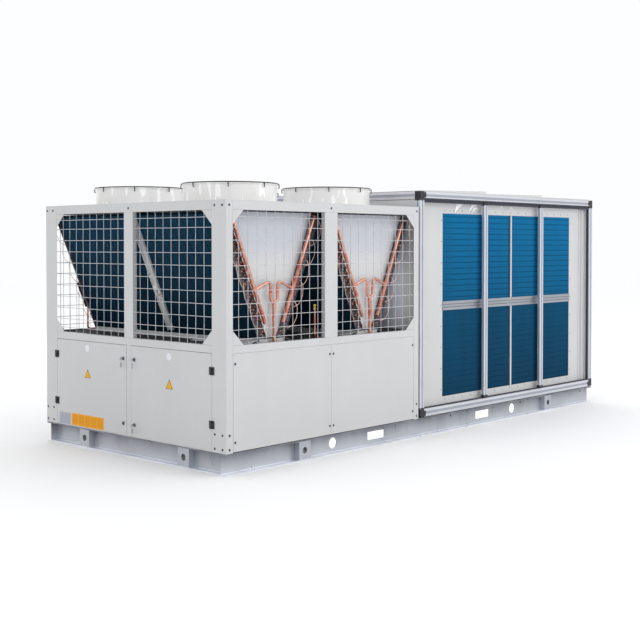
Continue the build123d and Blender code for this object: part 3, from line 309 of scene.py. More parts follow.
WHITE_PAINT = (0.57, 0.575, 0.583)
looks = {
    # painted shade: the base turns dark under the cabinet, with a painted highlight along its foot
    "galvanised_base": rolled_zinc("galvanised_base", (0.56, 0.58, 0.62), (0.135, 0.145, 0.17), (0.03, 0.15)),
    "galvanised_sheet": galvanised("galvanised_sheet", (0.56, 0.57, 0.59), 70, 0.6),
    "cabinet_paint": powder_coat("cabinet_paint", WHITE_PAINT),
    "cowl_paint": filmed_paint("cowl_paint", (0.78, 0.775, 0.765)),
    "guard_wire": moulded("guard_wire", (0.53, 0.535, 0.56), 0.4, 500),
    "black_wire": moulded("black_wire", (0.018, 0.018, 0.02), 0.42, 500),
    "black_paint": moulded("black_paint", (0.016, 0.017, 0.02), 0.38),
    "blade": moulded("blade", (0.035, 0.037, 0.04), 0.45),
    "motor_paint": moulded("motor_paint", (0.045, 0.047, 0.05), 0.42),
    # painted light and shade on both coils: lighter at the top, darker towards the ground, and the intake coil's
    # lower block darker
    "coil_fin_dark": fins("coil_fin_dark", (0.003, 0.048, 0.100), (0.003, 0.030, 0.058),
                          (0.95, 1.88), 0.062, "Y"),
    "coil_fin_blue": fins("coil_fin_blue", (0.002, 0.175, 0.385), (0.002, 0.072, 0.160),
                          (0.30, 1.90), 0.0508, "Z", 1.095),
    "copper": copper("copper", (0.72, 0.36, 0.275), (0.44, 0.19, 0.14)),
    "compressor_paint": moulded("compressor_paint", (0.02, 0.022, 0.028), 0.35),
    "cast_iron": bare_metal("cast_iron", (0.22, 0.22, 0.23), 0.55, 500),
    "machined_steel": bare_metal("machined_steel", (0.55, 0.55, 0.56), 0.26),
    "electrical": moulded("electrical", (0.45, 0.46, 0.47), 0.45),
    "anodised": drawn_metal("anodised", (0.64, 0.655, 0.69), (0.01, 1, 1), 0.6),
    "black_plastic": moulded("black_plastic", (0.007, 0.007, 0.011), 0.42, 600),
    "rubber": moulded("rubber", (0.02, 0.02, 0.022), 0.75, 400),
    "zinc": bare_metal("zinc", (0.66, 0.67, 0.68), 0.3),
}
run_looks = {
    0: looks["anodised"],
    1: drawn_metal("anodised_cross", (0.64, 0.655, 0.69), (1, 0.01, 1), 0.6),
    2: drawn_metal("anodised_upright", (0.62, 0.64, 0.69), (1, 1, 0.01), 0.6),
}
dark_copper = copper("dark_copper", (0.42, 0.22, 0.18), (0.10, 0.07, 0.07), 0.35)
groove_look = drawn_metal("profile_groove", (0.36, 0.385, 0.45), (0.2, 0.2, 0.2), 0.5)
mill_look = drawn_metal("mill_finish", (0.35, 0.37, 0.41), (0.01, 1, 1), 0.6)
# painted shade: dark strips for the shade in the middle rail's grooves
groove_shade_look = drawn_metal("mill_groove_shade", (0.12, 0.12, 0.13), (0.01, 1, 1), 0.4)
# painted shade: the tube plates are toned as galvanised steel in shadow, a little lighter higher up
shaded_plate_look = rolled_zinc("tube_plate_in_shade", (0.13, 0.135, 0.155), (0.16, 0.165, 0.185), (0.9, 1.9))
# painted shade: the V sheets turn a darker bluish grey near the top, under the roof
support_look = powder_coat("support_sheet", (0.66, 0.665, 0.67), 0.42, (0.56, 0.585, 0.64), painted_shading_band=(1.50, 1.64))
# painted light and shade: bright near the front of the joint wall and dark further in along Y
joint_look = powder_coat("joint_sheet", (0.86, 0.88, 0.94), 0.5, (0.34, 0.36, 0.42), "Y", (-1.04, -0.62))
# painted shade: the lugs darken towards the top, under the cabinet
lug_look = rolled_zinc("lug_plate", (0.50, 0.52, 0.57), (0.38, 0.40, 0.44), (0.03, 0.16))
# painted shade: the lug sockets darken towards the top of the hole
socket_look = rolled_zinc("lug_socket", (0.42, 0.43, 0.44), (0.16, 0.165, 0.17), (0.062, 0.10))
deck_look = moulded("deck_sheet", (0.030, 0.028, 0.027), 0.85, 300)
# painted light: the struts are toned lighter than the other galvanised sheet to make up for the shade they stand
# in
strut_look = rolled_zinc("strut_sheet", (0.80, 0.80, 0.81), (0.80, 0.80, 0.81), (0.9, 1.9))
screw_look = bare_metal("dark_zinc", (0.10, 0.105, 0.125), 0.32)
enamel = Look("dark_enamel", fixed=[("Coat Weight", 1.0), ("Coat Roughness", 0.06)])
enamel = enamel.finish(enamel.mix(enamel.spread(enamel.noise(90), 0, 1), shade(0.006, 0.012, 0.02),
                                  shade(0.012, 0.05, 0.085)), None, enamel.noise(60), 0.0003, 0.3)
# dark rubber for the door foam seals, also used for dark strips of painted shadow in gaps
seal_and_shadow_look = moulded("seal_and_painted_shadow", (0.028, 0.032, 0.048), 0.7, 500)
insulation = moulded("insulation_foam", (0.012, 0.012, 0.013), 0.85, 900)
brass = bare_metal("brass", (0.82, 0.62, 0.12), 0.3)
white_vinyl = vinyl("white_vinyl", (0.74, 0.75, 0.78))
# painted reflection: a near-white film for the glare crescents above the coil
painted_glare_look = vinyl("painted_glare_film", (0.98, 0.98, 0.99))
yellow_vinyl = vinyl("yellow_vinyl", (0.80, 0.38, 0.004))
orange_vinyl = vinyl("orange_vinyl", (0.84, 0.37, 0.004))
grey_vinyl = vinyl("grey_vinyl", (0.37, 0.39, 0.44))
dark_vinyl = vinyl("dark_vinyl", (0.05, 0.035, 0.02))


# ---------------------------------------------------------------- building pieces
def piece(name, bm, look, body="cabinet", slot=None, replaces=(), bevel=0.0, segments=2, sharp=35):
    """Turns mesh work into a piece that rides on a body and wears the given look."""
    bmesh.ops.recalc_face_normals(bm, faces=bm.faces)
    mesh = bpy.data.meshes.new(name)
    bm.to_mesh(mesh)
    bm.free()
    mesh.materials.append(look)
    mesh.shade_smooth()
    mesh.set_sharp_from_angle(angle=radians(sharp))
    made = bpy.data.objects.new(name, mesh)
    bpy.context.scene.collection.objects.link(made)
    if bevel:
        rounding = made.modifiers.new("rounded_edges", "BEVEL")
        rounding.width = bevel
        rounding.segments = segments
        rounding.limit_method = "ANGLE"
        rounding.angle_limit = radians(sharp)
        rounding.harden_normals = True
    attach(made, body)
    for node in replaces:
        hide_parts(node)
        replaced.add(node)
    slot or slot_of(replaces[0])
    return made


def box_piece(name, low, high, look, body, slot, bevel=0.0):
    """A piece that is a single box."""
    bm = bmesh.new()
    add_box(bm, low, high)
    piece(name, bm, look, body, slot, bevel=bevel)


def slot_of(node):
    """The record's material slot for a CAD node."""
    return slots[node]


def welded(node, whole=True):
    """A CAD node's surface with its corners joined and, where asked, its flat faces whole again."""
    bm = bmesh.new()
    bm.from_mesh(frame["nodes"][node].data)
    bmesh.ops.remove_doubles(bm, verts=bm.verts, dist=2e-6)
    if whole:
        bmesh.ops.dissolve_limit(bm, angle_limit=radians(0.6), verts=bm.verts, edges=bm.edges)
    return bm


def refined(node, bevel=0.0009, segments=2, sharp=35, look=None, whole=True):
    """A copy of a CAD node with its folded and cut edges rounded, which stands in for the node."""
    return piece(f"{node}_detailed", welded(node, whole), look or looks[slot_of(node)], node_body[node],
                 replaces=[node], bevel=bevel, segments=segments, sharp=sharp)


def islands(node):
    """The separate solids of a CAD node, each as its list of corner points, in a settled order."""
    bm = welded(node, whole=False)
    todo, groups = set(bm.verts), []
    while todo:
        stack, group = [todo.pop()], []
        while stack:
            vert = stack.pop()
            group.append(vert.co.copy())
            for edge in vert.link_edges:
                other = edge.other_vert(vert)
                if other in todo:
                    todo.discard(other)
                    stack.append(other)
        groups.append(group)
    bm.free()
    return sorted(groups, key=lambda group: [round(v, 4) for v in corners(group)[0]])


def angles(count):
    """Evenly spaced angles round a full turn."""
    return [2 * pi * k / count for k in range(count)]


def corners(points):
    """The lowest and highest corner of a list of points."""
    return Vector(map(min, *points)), Vector(map(max, *points))


def add_box(bm, low, high):
    """A box between two corners."""
    verts = [bm.verts.new((high[0] if i & 1 else low[0], high[1] if i & 2 else low[1],
                           high[2] if i & 4 else low[2])) for i in range(8)]
    for face in ((0, 2, 3, 1), (4, 5, 7, 6), (0, 1, 5, 4), (2, 6, 7, 3), (0, 4, 6, 2), (1, 3, 7, 5)):
        bm.faces.new([verts[i] for i in face])


def add_border(bm, low, high, width, across):
    """Four bars inside a box's outline: bottom, top, and an upright at each end along the axis across."""
    inner_low, inner_high = [*low[:2], low[2] + width], [*high[:2], high[2] - width]
    near_high, far_low = list(inner_high), list(inner_low)
    near_high[across], far_low[across] = low[across] + width, high[across] - width
    for one, two in ((low, (*high[:2], low[2] + width)), ((*low[:2], high[2] - width), high),
                     (inner_low, near_high), (far_low, inner_high)):
        add_box(bm, one, two)


def bar_outline(width, height):
    """The outline of a flat bar that starts at its corner."""
    return [(0, 0), (width, 0), (width, height), (0, height)]


def add_bar(bm, section, start, end, u, v):
    """Extrudes a closed outline, given along u and v, from start to end."""
    rings = [[bm.verts.new(point + u * a + v * b) for a, b in section] for point in (start, end)]
    join_rings(bm, rings)


def join_rings(bm, rings, closed=False):
    """Skins a row of equal rings. Its ends are closed unless the row is a loop."""
    count = len(rings[0])
    for one, two in zip(rings, rings[1:] + (rings[:1] if closed else [])):
        for k in range(count):
            bm.faces.new((one[k], one[(k + 1) % count], two[(k + 1) % count], two[k]))
    if not closed:
        bm.faces.new(rings[0][::-1])
        bm.faces.new(rings[-1])


def add_tube(bm, points, radius, sides=8, closed=False):
    """A round tube along points. The radius is one number, or one for each point."""
    radii = radius if isinstance(radius, (list, tuple)) else [radius] * len(points)
    rings, normal, last = [], None, len(points) - 1
    for index, point in enumerate(points):
        before = points[index - 1] if index or closed else point
        after = points[(index + 1) % (last + 1)] if index < last or closed else point
        tangent = (after - before).normalized()
        normal = tangent.orthogonal() if normal is None else normal - tangent * normal.dot(tangent)
        normal.normalize()
        side = tangent.cross(normal)
        rings.append([bm.verts.new(point + (normal * cos(a) + side * sin(a)) * radii[index])
                      for a in angles(sides)])
    join_rings(bm, rings, closed)


def rounded(points, radius, steps=6):
    """A run of points with its corners eased into curves."""
    path = [points[0]]
    for before, corner, after in zip(points, points[1:], points[2:]):
        back, ahead = before - corner, after - corner
        reach = min(radius / tan(back.angle(ahead) / 2), back.length / 2, ahead.length / 2)
        back, ahead = back.normalized() * reach, ahead.normalized() * reach
        path += [corner + back * (1 - t) ** 2 + ahead * t ** 2 for t in (n / steps for n in range(steps + 1))]
    return path + [points[-1]]


def add_turned(bm, outline, centre, axis="z", steps=40, closed=False):
    """Turns an outline of (radius, height) points about an axis through centre."""
    u, v, w = TURNS[axis]
    rings = []
    for radius, height in outline:
        if radius < 1e-6:
            rings.append([bm.verts.new(centre + w * height)])
        else:
            rings.append([bm.verts.new(centre + w * height + (u * cos(a) + v * sin(a)) * radius)
                          for a in angles(steps)])
    for one, two in zip(rings, rings[1:] + (rings[:1] if closed else [])):
        for k in range(steps):
            ring = [one[k % len(one)], one[(k + 1) % len(one)], two[(k + 1) % len(two)], two[k % len(two)]]
            bm.faces.new(list(dict.fromkeys(ring)))


def add_screw(bm, centre, axis, radius=0.0068, steps=6):
    """A hexagon-headed sheet-metal screw on a sealing washer."""
    add_turned(bm, [(0, -0.0004), (radius, -0.0004), (radius, 0.0005), (radius * 0.9, 0.0011),
                    (radius * 0.7, 0.0013), (0, 0.0013)], centre, axis, 20)
    add_turned(bm, [(0, 0.0012), (radius * 0.62, 0.0012), (radius * 0.62, 0.0034), (radius * 0.54, 0.0040),
                    (radius * 0.3, 0.0040), (radius * 0.26, 0.0036), (0, 0.0035)], centre, axis, steps)


def add_pan_head(bm, centre, axis, radius=0.004):
    """A small domed screw head with a round driver recess."""
    add_turned(bm, [(0, -0.0003), (radius, -0.0003), (radius, 0.0006), (radius * 0.8, 0.0016),
                    (radius * 0.45, 0.0020), (radius * 0.35, 0.0012), (0, 0.0010)], centre, axis, 14)


def grooved(width, height, depth=0.0045, corner=0.0045):
    """A rounded box outline with a shallow channel along the middle of each side."""
    outline = []
    spots = (((0, 0), (1, 0), width), ((width, 0), (0, 1), height),
             ((width, height), (-1, 0), width), ((0, height), (0, -1), height))
    for (px, py), (dx, dy), size in spots:
        for along, inside in ((corner, 0), (0.34 * size, 0), (0.36 * size, depth), (0.64 * size, depth),
                              (0.66 * size, 0), (size - corner, 0), (size - corner * 0.3, corner * 0.3)):
            outline.append((px + dx * along - dy * inside, py + dy * along + dx * inside))
    return outline


def add_profile(bm, low, high, section=grooved):
    """An aluminium extrusion that fills a box and runs along its longest side. Returns that axis."""
    size = high - low
    run = max(range(3), key=lambda axis: size[axis])
    u, v = [(Y, Z), (X, Z), (X, Y)][run]
    end = low.copy()
    end[run] = high[run]
    add_bar(bm, section(size.dot(u), size.dot(v)), low, end, u, v)
    return run


def add_finned(bm, corner, run, rise, depth, count, rows, groove, ripple=0.0):
    """A block of fins: both broad faces are folded into one ridge for each fin."""
    outwards = depth.normalized()
    sheets = []
    for base, out in ((corner, -outwards), (corner + depth, outwards)):
        sheets.append([[bm.verts.new(base + run * (c / (2 * count)) + rise * (r / rows)
                                     - out * (groove * (c % 2) + ripple * (r % 2)))
                        for r in range(rows + 1)] for c in range(2 * count + 1)])
    back, face = sheets
    for grid in sheets:
        for one, two in zip(grid, grid[1:]):
            for r in range(rows):
                bm.faces.new((one[r], two[r], two[r + 1], one[r + 1]))
    for r in (0, rows):
        for c in range(2 * count):
            bm.faces.new((back[c][r], back[c + 1][r], face[c + 1][r], face[c][r]))
    for c in (0, 2 * count):
        for r in range(rows):
            bm.faces.new((back[c][r], back[c][r + 1], face[c][r + 1], face[c][r]))


# ---------------------------------------------------------------- base frame
def base_frame():
    """Channel base, cross members and lifting lugs, with bolts under the air-handling rail."""
    refined("base_beams", 0.0022, 3)
    refined("base_cross_members", 0.0015)
    refined("lifting_lugs", 0.0018, 3, look=lug_look)
    sleeves = bmesh.new()
    for mount in frame["record"]["mounts"]:
        if mount["name"].startswith("lifting_lug"):
            centre, out = Vector(mount["pos_m"]), Vector(mount["axis"])
            radius = mount["dims"]["r_mm"] / 1000
            name = "-" * (sum(out) < 0) + ("x" if abs(out.x) > 0.5 else "y")
            lip = radius + 0.0035
            outline = [(0, -0.022), (radius + 0.001, -0.022), (radius + 0.001, 0.0005), (lip, 0.0005),
                       (lip, 0.0020), (radius - 0.001, 0.0020), (radius - 0.0015, -0.0205), (0, -0.0205)]
            add_turned(sleeves, outline, centre, name, 40)
    piece("lug_sleeves", sleeves, socket_look, slot="galvanised_base")
    bolts = bmesh.new()
    for side, axis in ((-1, "-y"), (1, "y")):
        for number in range(3):
            place = air_start + FIRST_BASE_BOLT + number * BASE_BOLT_PITCH
            add_screw(bolts, Vector((place, side * BASE_WEB, 0.121)), axis, 0.009)
    piece("base_bolts", bolts, looks["black_paint"], slot="black_paint")


# ---------------------------------------------------------------- condenser cabinet
def bar_centres(points, along, across):
    """Where the wires of a CAD grid sit on one axis, read from their ends on the other axis."""
    edge = min(point[across] for point in points)
    marks = sorted({round(point[along], 4) for point in points if point[across] - edge < 1e-5})
    return [(one + two) / 2 for one, two in zip(marks[::2], marks[1::2])]


def wire_guards():
    """Welded wire grids: round wires in two layers, each slightly out of true."""
    bm = bmesh.new()
    wire = 0.0022
    for points in islands("wire_guards"):
        low, high = corners(points)
        flat = 0 if high.x - low.x < high.y - low.y else 1
        across = 1 - flat
        inward = 1 if low[flat] < 0 else -1
        outer = low[flat] if inward > 0 else high[flat]
        uprights = bar_centres(points, across, 2)
        rows = bar_centres(points, 2, across)

        def spot(place, z, layer):
            found = Vector((0, 0, z))
            found[flat] = outer + inward * (wire + layer * 2 * 0.92 * wire)
            found[across] = place
            return found

        for z in rows:
            stops = [low[across]] + uprights + [high[across]]
            add_tube(bm, [spot(place, z + chance.gauss(0, 0.0005), 0) for place in stops], wire)
        for place in uprights:
            stops = [low.z] + rows + [high.z]
            add_tube(bm, [spot(place + chance.gauss(0, 0.0005), z, 1) for z in stops], wire)
    piece("wire_guard_mesh", bm, looks["guard_wire"], replaces=["wire_guards"])


def cabinet_sheet_metal():
    """Posts, rails, gussets, panels and floors with rounded folds."""
    for node in ("condenser_corner_posts", "condenser_rails", "corner_gussets", "lower_side_panels"):
        refined(node, 0.0013, 3)
    refined("compartment_floors", 0.0008, look=deck_look)
    refined("condenser_roof", 0.0008, whole=False)
    refined("fan_motor_brackets", 0.0008)
    refined("coil_supports", 0.0008, look=support_look)
    screws = bmesh.new()
    for points in islands("cabinet_screws"):
        low, high = corners(points)
        middle = (low + high) / 2
        if high.x - low.x < 0.005:
            add_screw(screws, Vector((left, middle.y, middle.z)), "-x", 0.0095)
        else:
            side = -1 if middle.y < 0 else 1
            add_screw(screws, Vector((middle.x, side * rear, middle.z)), "-y" if side < 0 else "y", 0.0095)
    piece("cabinet_screw_heads", screws, screw_look, slot="zinc", replaces=["cabinet_screws"])
    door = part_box("right_door")[0]
    box_piece("end_sill", (left + 0.001, door.y, base_top + 0.0002), (left + 0.012, -door.y, door.z - 0.0006),
              looks["cabinet_paint"], "cabinet", "cabinet_paint", 0.0006)


# ---------------------------------------------------------------- doors, hinges and locks
def sticker(name, outlines, look, body="left_door", lift=0.0, thickness=0.0005):
    """A blank label on an end door: outlines in Y and Z standing a film's thickness off the sheet."""
    bm = bmesh.new()
    x = left - lift
    for outline in outlines:
        add_bar(bm, outline, Vector((x, 0, 0)), Vector((x - thickness, 0, 0)), Y, Z)
    piece(name, bm, look, body, "cabinet_paint")


def disc(y, z, radius, steps=40):
    """A round outline about a centre."""
    return [(y + radius * cos(a), z + radius * sin(a)) for a in angles(steps)]


def rectangle(y, z, width, height):
    """A rectangular outline about a centre."""
    return [(y - width / 2, z - height / 2), (y + width / 2, z - height / 2),
            (y + width / 2, z + height / 2), (y - width / 2, z + height / 2)]


def triangle(y, z, width, height):
    """An upright triangle on the middle of its base."""
    return [(y - width / 2, z), (y + width / 2, z), (y, z + height)]


def labels():
    """Blank stickers: a white disc and a yellow triangle on each door, and two labels by the base."""
    for body, centre in (("left_door", 0.5285), ("right_door", -0.481)):
        sticker(f"{body}_disc_sticker", [disc(centre + 0.004, 0.805, 0.027)], white_vinyl, body)
        sticker(f"{body}_triangle_edge", [triangle(centre, 0.567, 0.081, 0.071)], dark_vinyl, body)
        sticker(f"{body}_triangle_sticker", [triangle(centre, 0.5705, 0.069, 0.060)],
                yellow_vinyl, body, 0.0004)
    sticker("grey_label", [rectangle(0.8395, 0.2155, 0.153, 0.090)], grey_vinyl)
    sticker("orange_label", [rectangle(0.5345, 0.2185, 0.429, 0.097)], orange_vinyl)
    fields = [rectangle(0.365 + number * 0.084, 0.2185, 0.074, 0.080) for number in range(5)]
    amber_vinyl = vinyl("amber_vinyl", (0.72, 0.29, 0.003))
    sticker("orange_label_fields", fields, amber_vinyl, lift=0.0004, thickness=0.0003)


def locks():
    """Cylinder locks with a knurled cap, a keyway and, in three of them, a key with its tag."""
    for level in ("lower", "upper"):
        for side_name in ("left", "right"):
            node = f"{level}_{side_name}_lock"
            y, z = joint_place(f"{node}_turn")[1:]
            centre = Vector((left, y, z))
            metal = bmesh.new()
            add_turned(metal, [(0, -0.0255), (0.0068, -0.0255), (0.0068, 0.0022), (0.0062, 0.0034),
                               (0.0030, 0.0036), (0.0026, 0.0024), (0, 0.0024)], centre, "-x", 28)
            add_box(metal, (left + 0.0226, y - 0.008, z - 0.009), (left + 0.0254, y + 0.008, z + 0.045))
            if node != "lower_left_lock":
                half_blade = [(0.0, 0.0035), (-0.016, 0.0035), (-0.016, 0.008),
                              (-0.020, 0.012), (-0.029, 0.012), (-0.031, 0.008)]
                blade = [(x, -h) for x, h in half_blade] + half_blade[::-1]
                add_bar(metal, blade, centre - Y * 0.001, centre + Y * 0.001, X, Z)
                ring = [centre + Vector((-0.026 + 0.009 * cos(a), 0.004 * sin(a), -0.016 + 0.012 * sin(a)))
                        for a in angles(20)]
                add_tube(metal, ring, 0.0007, 6, closed=True)
                add_box(metal, (left - 0.031, y - 0.0012, z - 0.066), (left - 0.014, y + 0.0012, z - 0.028))
            piece(f"{node}_cylinder", metal, looks["zinc"], node, replaces=[node], bevel=0.0005)
            face = bmesh.new()
            add_turned(face, [(0, 0.0020), (0.0066, 0.0020), (0.0066, 0.0046), (0.0056, 0.0056),
                              (0.0030, 0.0058), (0.0024, 0.0050), (0, 0.0050)], centre, "-x", 28)
            piece(f"{node}_face", face, enamel, node, "black_plastic")
            cap = bmesh.new()
            add_turned(cap, [(0.0072, 0.0008), (0.0135, 0.0008), (0.0140, 0.0016), (0.0135, 0.0042),
                             (0.0115, 0.0056), (0.0078, 0.0056), (0.0072, 0.0048)],
                       centre, "-x", 36, closed=True)
            piece(f"{node}_bezel", cap, enamel, f"{side_name}_door", "black_plastic")


def doors():
    """End doors with rounded folds, their hinges, a foam seal round the inside, and dark strips of painted shadow
    in the gaps at the left door's edge and over the doors.
    """
    for body in ("left_door", "right_door"):
        refined(body, 0.0013, 3)
        refined(f"{body}_fittings", 0.0007)
        low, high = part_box(body)
        seal = bmesh.new()
        inset, thick = 0.012, 0.010
        y0, y1, z0, z1 = low.y + inset, high.y - inset, low.z + inset, high.z - inset
        x0, x1 = low.x + 0.0024, low.x + 0.008
        add_border(seal, (x0, y0, z0), (x1, y1, z1), thick, 1)
        piece(f"{body}_seal", seal, seal_and_shadow_look, body, "rubber", bevel=0.001)
    low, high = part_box("left_door")
    # painted shadow: a dark strip in the left door's edge gap
    box_piece("left_door_edge_shadow_strip", (left + 0.0003, low.y - 0.0014, low.z + 0.001),
              (left + 0.010, low.y - 0.0002, high.z - 0.001), seal_and_shadow_look, "left_door", "rubber")
    refined("door_hinges", 0.0007)
    hinge_screws()
    # painted shadow: a dark strip in the gap over the doors
    box_piece("door_head_shadow_strip", (left + 0.003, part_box("right_door")[0].y, high.z + 0.0004),
              (left + 0.010, high.y, high.z + 0.0036), seal_and_shadow_look, "cabinet", "rubber")


def hinge_screws():
    """Countersunk screws on both leaves of the end doors' hinges."""
    for body, side in (("left_door", 1), ("right_door", -1)):
        hinge_y = joint_place(f"{body}_hinge")[1]
        fixed, moving = bmesh.new(), bmesh.new()
        for z in HINGE_HEIGHTS:
            for offset in (-0.016, 0.016):
                add_pan_head(fixed, Vector((left - 0.003, hinge_y + side * 0.018, z + offset)), "-x")
                add_pan_head(moving, Vector((left - 0.003, hinge_y - side * 0.018, z + offset)), "-x")
        piece(f"{body}_hinge_screws_fixed", fixed, looks["black_paint"], "cabinet", "black_paint")
        piece(f"{body}_hinge_screws_moving", moving, looks["black_paint"], body, "black_paint")


# ---------------------------------------------------------------- fans
def fans():
    """Rolled cowls, dense ring guards with hooks, finned motors and cambered blades."""
    refined("fan_cowls", 0.0)
    guards, motors = bmesh.new(), bmesh.new()
    guard_z = (guard_top + COWL_RIM) / 2
    for centre in fan_centres:
        for ring in range(21):
            radius = 0.046 + 0.016 * ring
            steps = 24 + 2 * ring
            add_tube(guards, [centre + Vector((radius * cos(a), radius * sin(a), guard_z))
                              for a in angles(steps)],
                     0.0016 if ring < 19 else 0.0054, 6, closed=True)
        for turn in angles(8):
            out = Vector((cos(turn), sin(turn), 0))
            spoke = [centre + out * reach + Z * (guard_z - 0.0034) for reach in (0.040, 0.366)]
            add_tube(guards, spoke, 0.0024, 6)
            hook = [(0.364, guard_z), (0.3745, guard_z - 0.001),
                    (0.3755, guard_z - 0.030), (0.369, guard_z - 0.034)]
            add_tube(guards, rounded([centre + out * r + Z * z for r, z in hook], 0.005, 3), 0.0040, 6)
        add_turned(guards, [(0, guard_z - 0.001), (0.044, guard_z - 0.001), (0.044, guard_z + 0.0014),
                            (0.036, guard_z + 0.0024), (0, guard_z + 0.0024)], centre, "z", 32)
        low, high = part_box("fan_motors")
        add_turned(motors, [(0, low.z), (0.062, low.z), (0.074, low.z + 0.008), (0.076, high.z - 0.006),
                            (0.0, high.z - 0.006)], centre, "z", 40)
        for turn in angles(20):
            out, side = Vector((cos(turn), sin(turn), 0)), Vector((-sin(turn), cos(turn), 0))
            foot = centre + out * 0.070 - side * 0.0015
            add_bar(motors, bar_outline(0.010, 0.003), foot + Z * (low.z + 0.014),
                    foot + Z * (high.z - 0.012), out, side)
        add_box(motors, centre + Vector((-0.12, -0.12, high.z - 0.005)), centre + Vector((0.12, 0.12, high.z)))
        add_box(motors, centre + Vector((0.078, -0.035, low.z + 0.03)),
                centre + Vector((0.115, 0.035, low.z + 0.09)))
    piece("fan_guard_rings", guards, looks["black_wire"], replaces=["fan_guards"])
    piece("fan_motor_castings", motors, looks["motor_paint"], replaces=["fan_motors"], bevel=0.0012)
    for number, centre in enumerate(fan_centres, 1):
        impeller(number, centre)


def impeller(number, centre):
    """Five sickle blades with camber and thickness round a domed hub."""
    node = f"fan_impeller_{number}"
    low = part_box(node)[0]
    bm = bmesh.new()
    hub_radius, hub_low, hub_high = 0.095, 1.985, 2.055
    hub = [(0, low.z), (0.012, low.z), (0.012, hub_low + 0.002), (hub_radius - 0.006, hub_low + 0.002),
           (hub_radius, hub_low + 0.008), (hub_radius, hub_high - 0.014),
           (hub_radius - 0.004, hub_high - 0.005), (hub_radius - 0.014, hub_high),
           (0.035, hub_high + 0.001), (0.032, hub_high - 0.004), (0.012, hub_high - 0.004),
           (0.010, hub_high), (0, hub_high)]
    add_turned(bm, hub, centre, "z", 48)
    spans, chords = 12, 10
    for base_turn in angles(5):
        grids = []
        for face in (-1, 1):
            grid = []
            for s in range(spans + 1):
                part = s / spans
                radius = 0.088 + (0.343 - 0.088) * part
                chord = 0.085 + 0.125 * part
                pitch = radians(38 - 20 * part)
                sweep = 0.10 * part ** 1.6
                row = []
                for c in range(chords + 1):
                    along = c / chords - 0.5
                    thick = 0.0026 * (1 - 0.3 * part) * (1 - (2 * along) ** 4) + 0.0005
                    camber = 0.014 * (1 - (2 * along) ** 2)
                    height = 2.022 + along * chord * sin(pitch) + camber * cos(pitch) + face * thick
                    turn = base_turn + sweep + (along * chord * cos(pitch)) / radius
                    row.append(bm.verts.new(centre + Vector((radius * cos(turn), radius * sin(turn), height))))
                grid.append(row)
            grids.append(grid)
        under, over = grids
        for s in range(spans):
            for c in range(chords):
                for grid in grids:
                    bm.faces.new((grid[s][c], grid[s + 1][c], grid[s + 1][c + 1], grid[s][c + 1]))
            for c in (0, chords):
                bm.faces.new((under[s][c], under[s + 1][c], over[s + 1][c], over[s][c]))
        for s in (0, spans):
            for c in range(chords):
                bm.faces.new((under[s][c], under[s][c + 1], over[s][c + 1], over[s][c]))
    piece(f"{node}_blades", bm, looks["blade"], f"fan_{number}", replaces=[node], sharp=50)


# ---------------------------------------------------------------- V coils and copper work
def slabs():
    """Each sloping coil as its lower edge, slope, outward normal, length up the slope and thickness."""
    found = []
    for points in islands("condenser_coils"):
        ends = [Vector((x, 0, z)) for z, x in sorted({(round(p.z, 4), round(p.x, 4)) for p in points})]
        bottom, top = (ends[0] + ends[1]) / 2, (ends[2] + ends[3]) / 2
        slope = (top - bottom).normalized()
        lean = 1 if slope.x > 0 else -1
        out = Vector((lean * slope.z, 0, -lean * slope.x))
        found.append((bottom, slope, out, (top - bottom).length, (ends[1] - ends[0]).length))
    return found


def condenser_coils():
    """Finned slabs with a folded tube plate on both long ends."""
    coil, plates = bmesh.new(), bmesh.new()
    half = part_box("condenser_coils")[1].y
    for bottom, slope, out, length, thickness in slabs():
        corner = bottom - out * thickness / 2 - Y * half
        add_finned(coil, corner, Y * 2 * half, slope * length, out * thickness, 560, 4, 0.0016)
        for y in (-half, half):
            away = -1 if y < 0 else 1
            start = bottom - out * (thickness / 2 + 0.001) + Y * y
            wide = thickness + 0.022
            add_bar(plates, bar_outline(wide, 0.0016), start, start + slope * length, out, Y * away)
            for edge in (0.0, wide - 0.0015):
                lip = start + out * edge
                add_bar(plates, bar_outline(0.0015, 0.010), lip, lip + slope * length, out, Y * away)
    piece("condenser_coil_fins", coil, looks["coil_fin_dark"], replaces=["condenser_coils"], sharp=60)
    piece("coil_tube_plates", plates, shaded_plate_look, slot="galvanised_sheet")


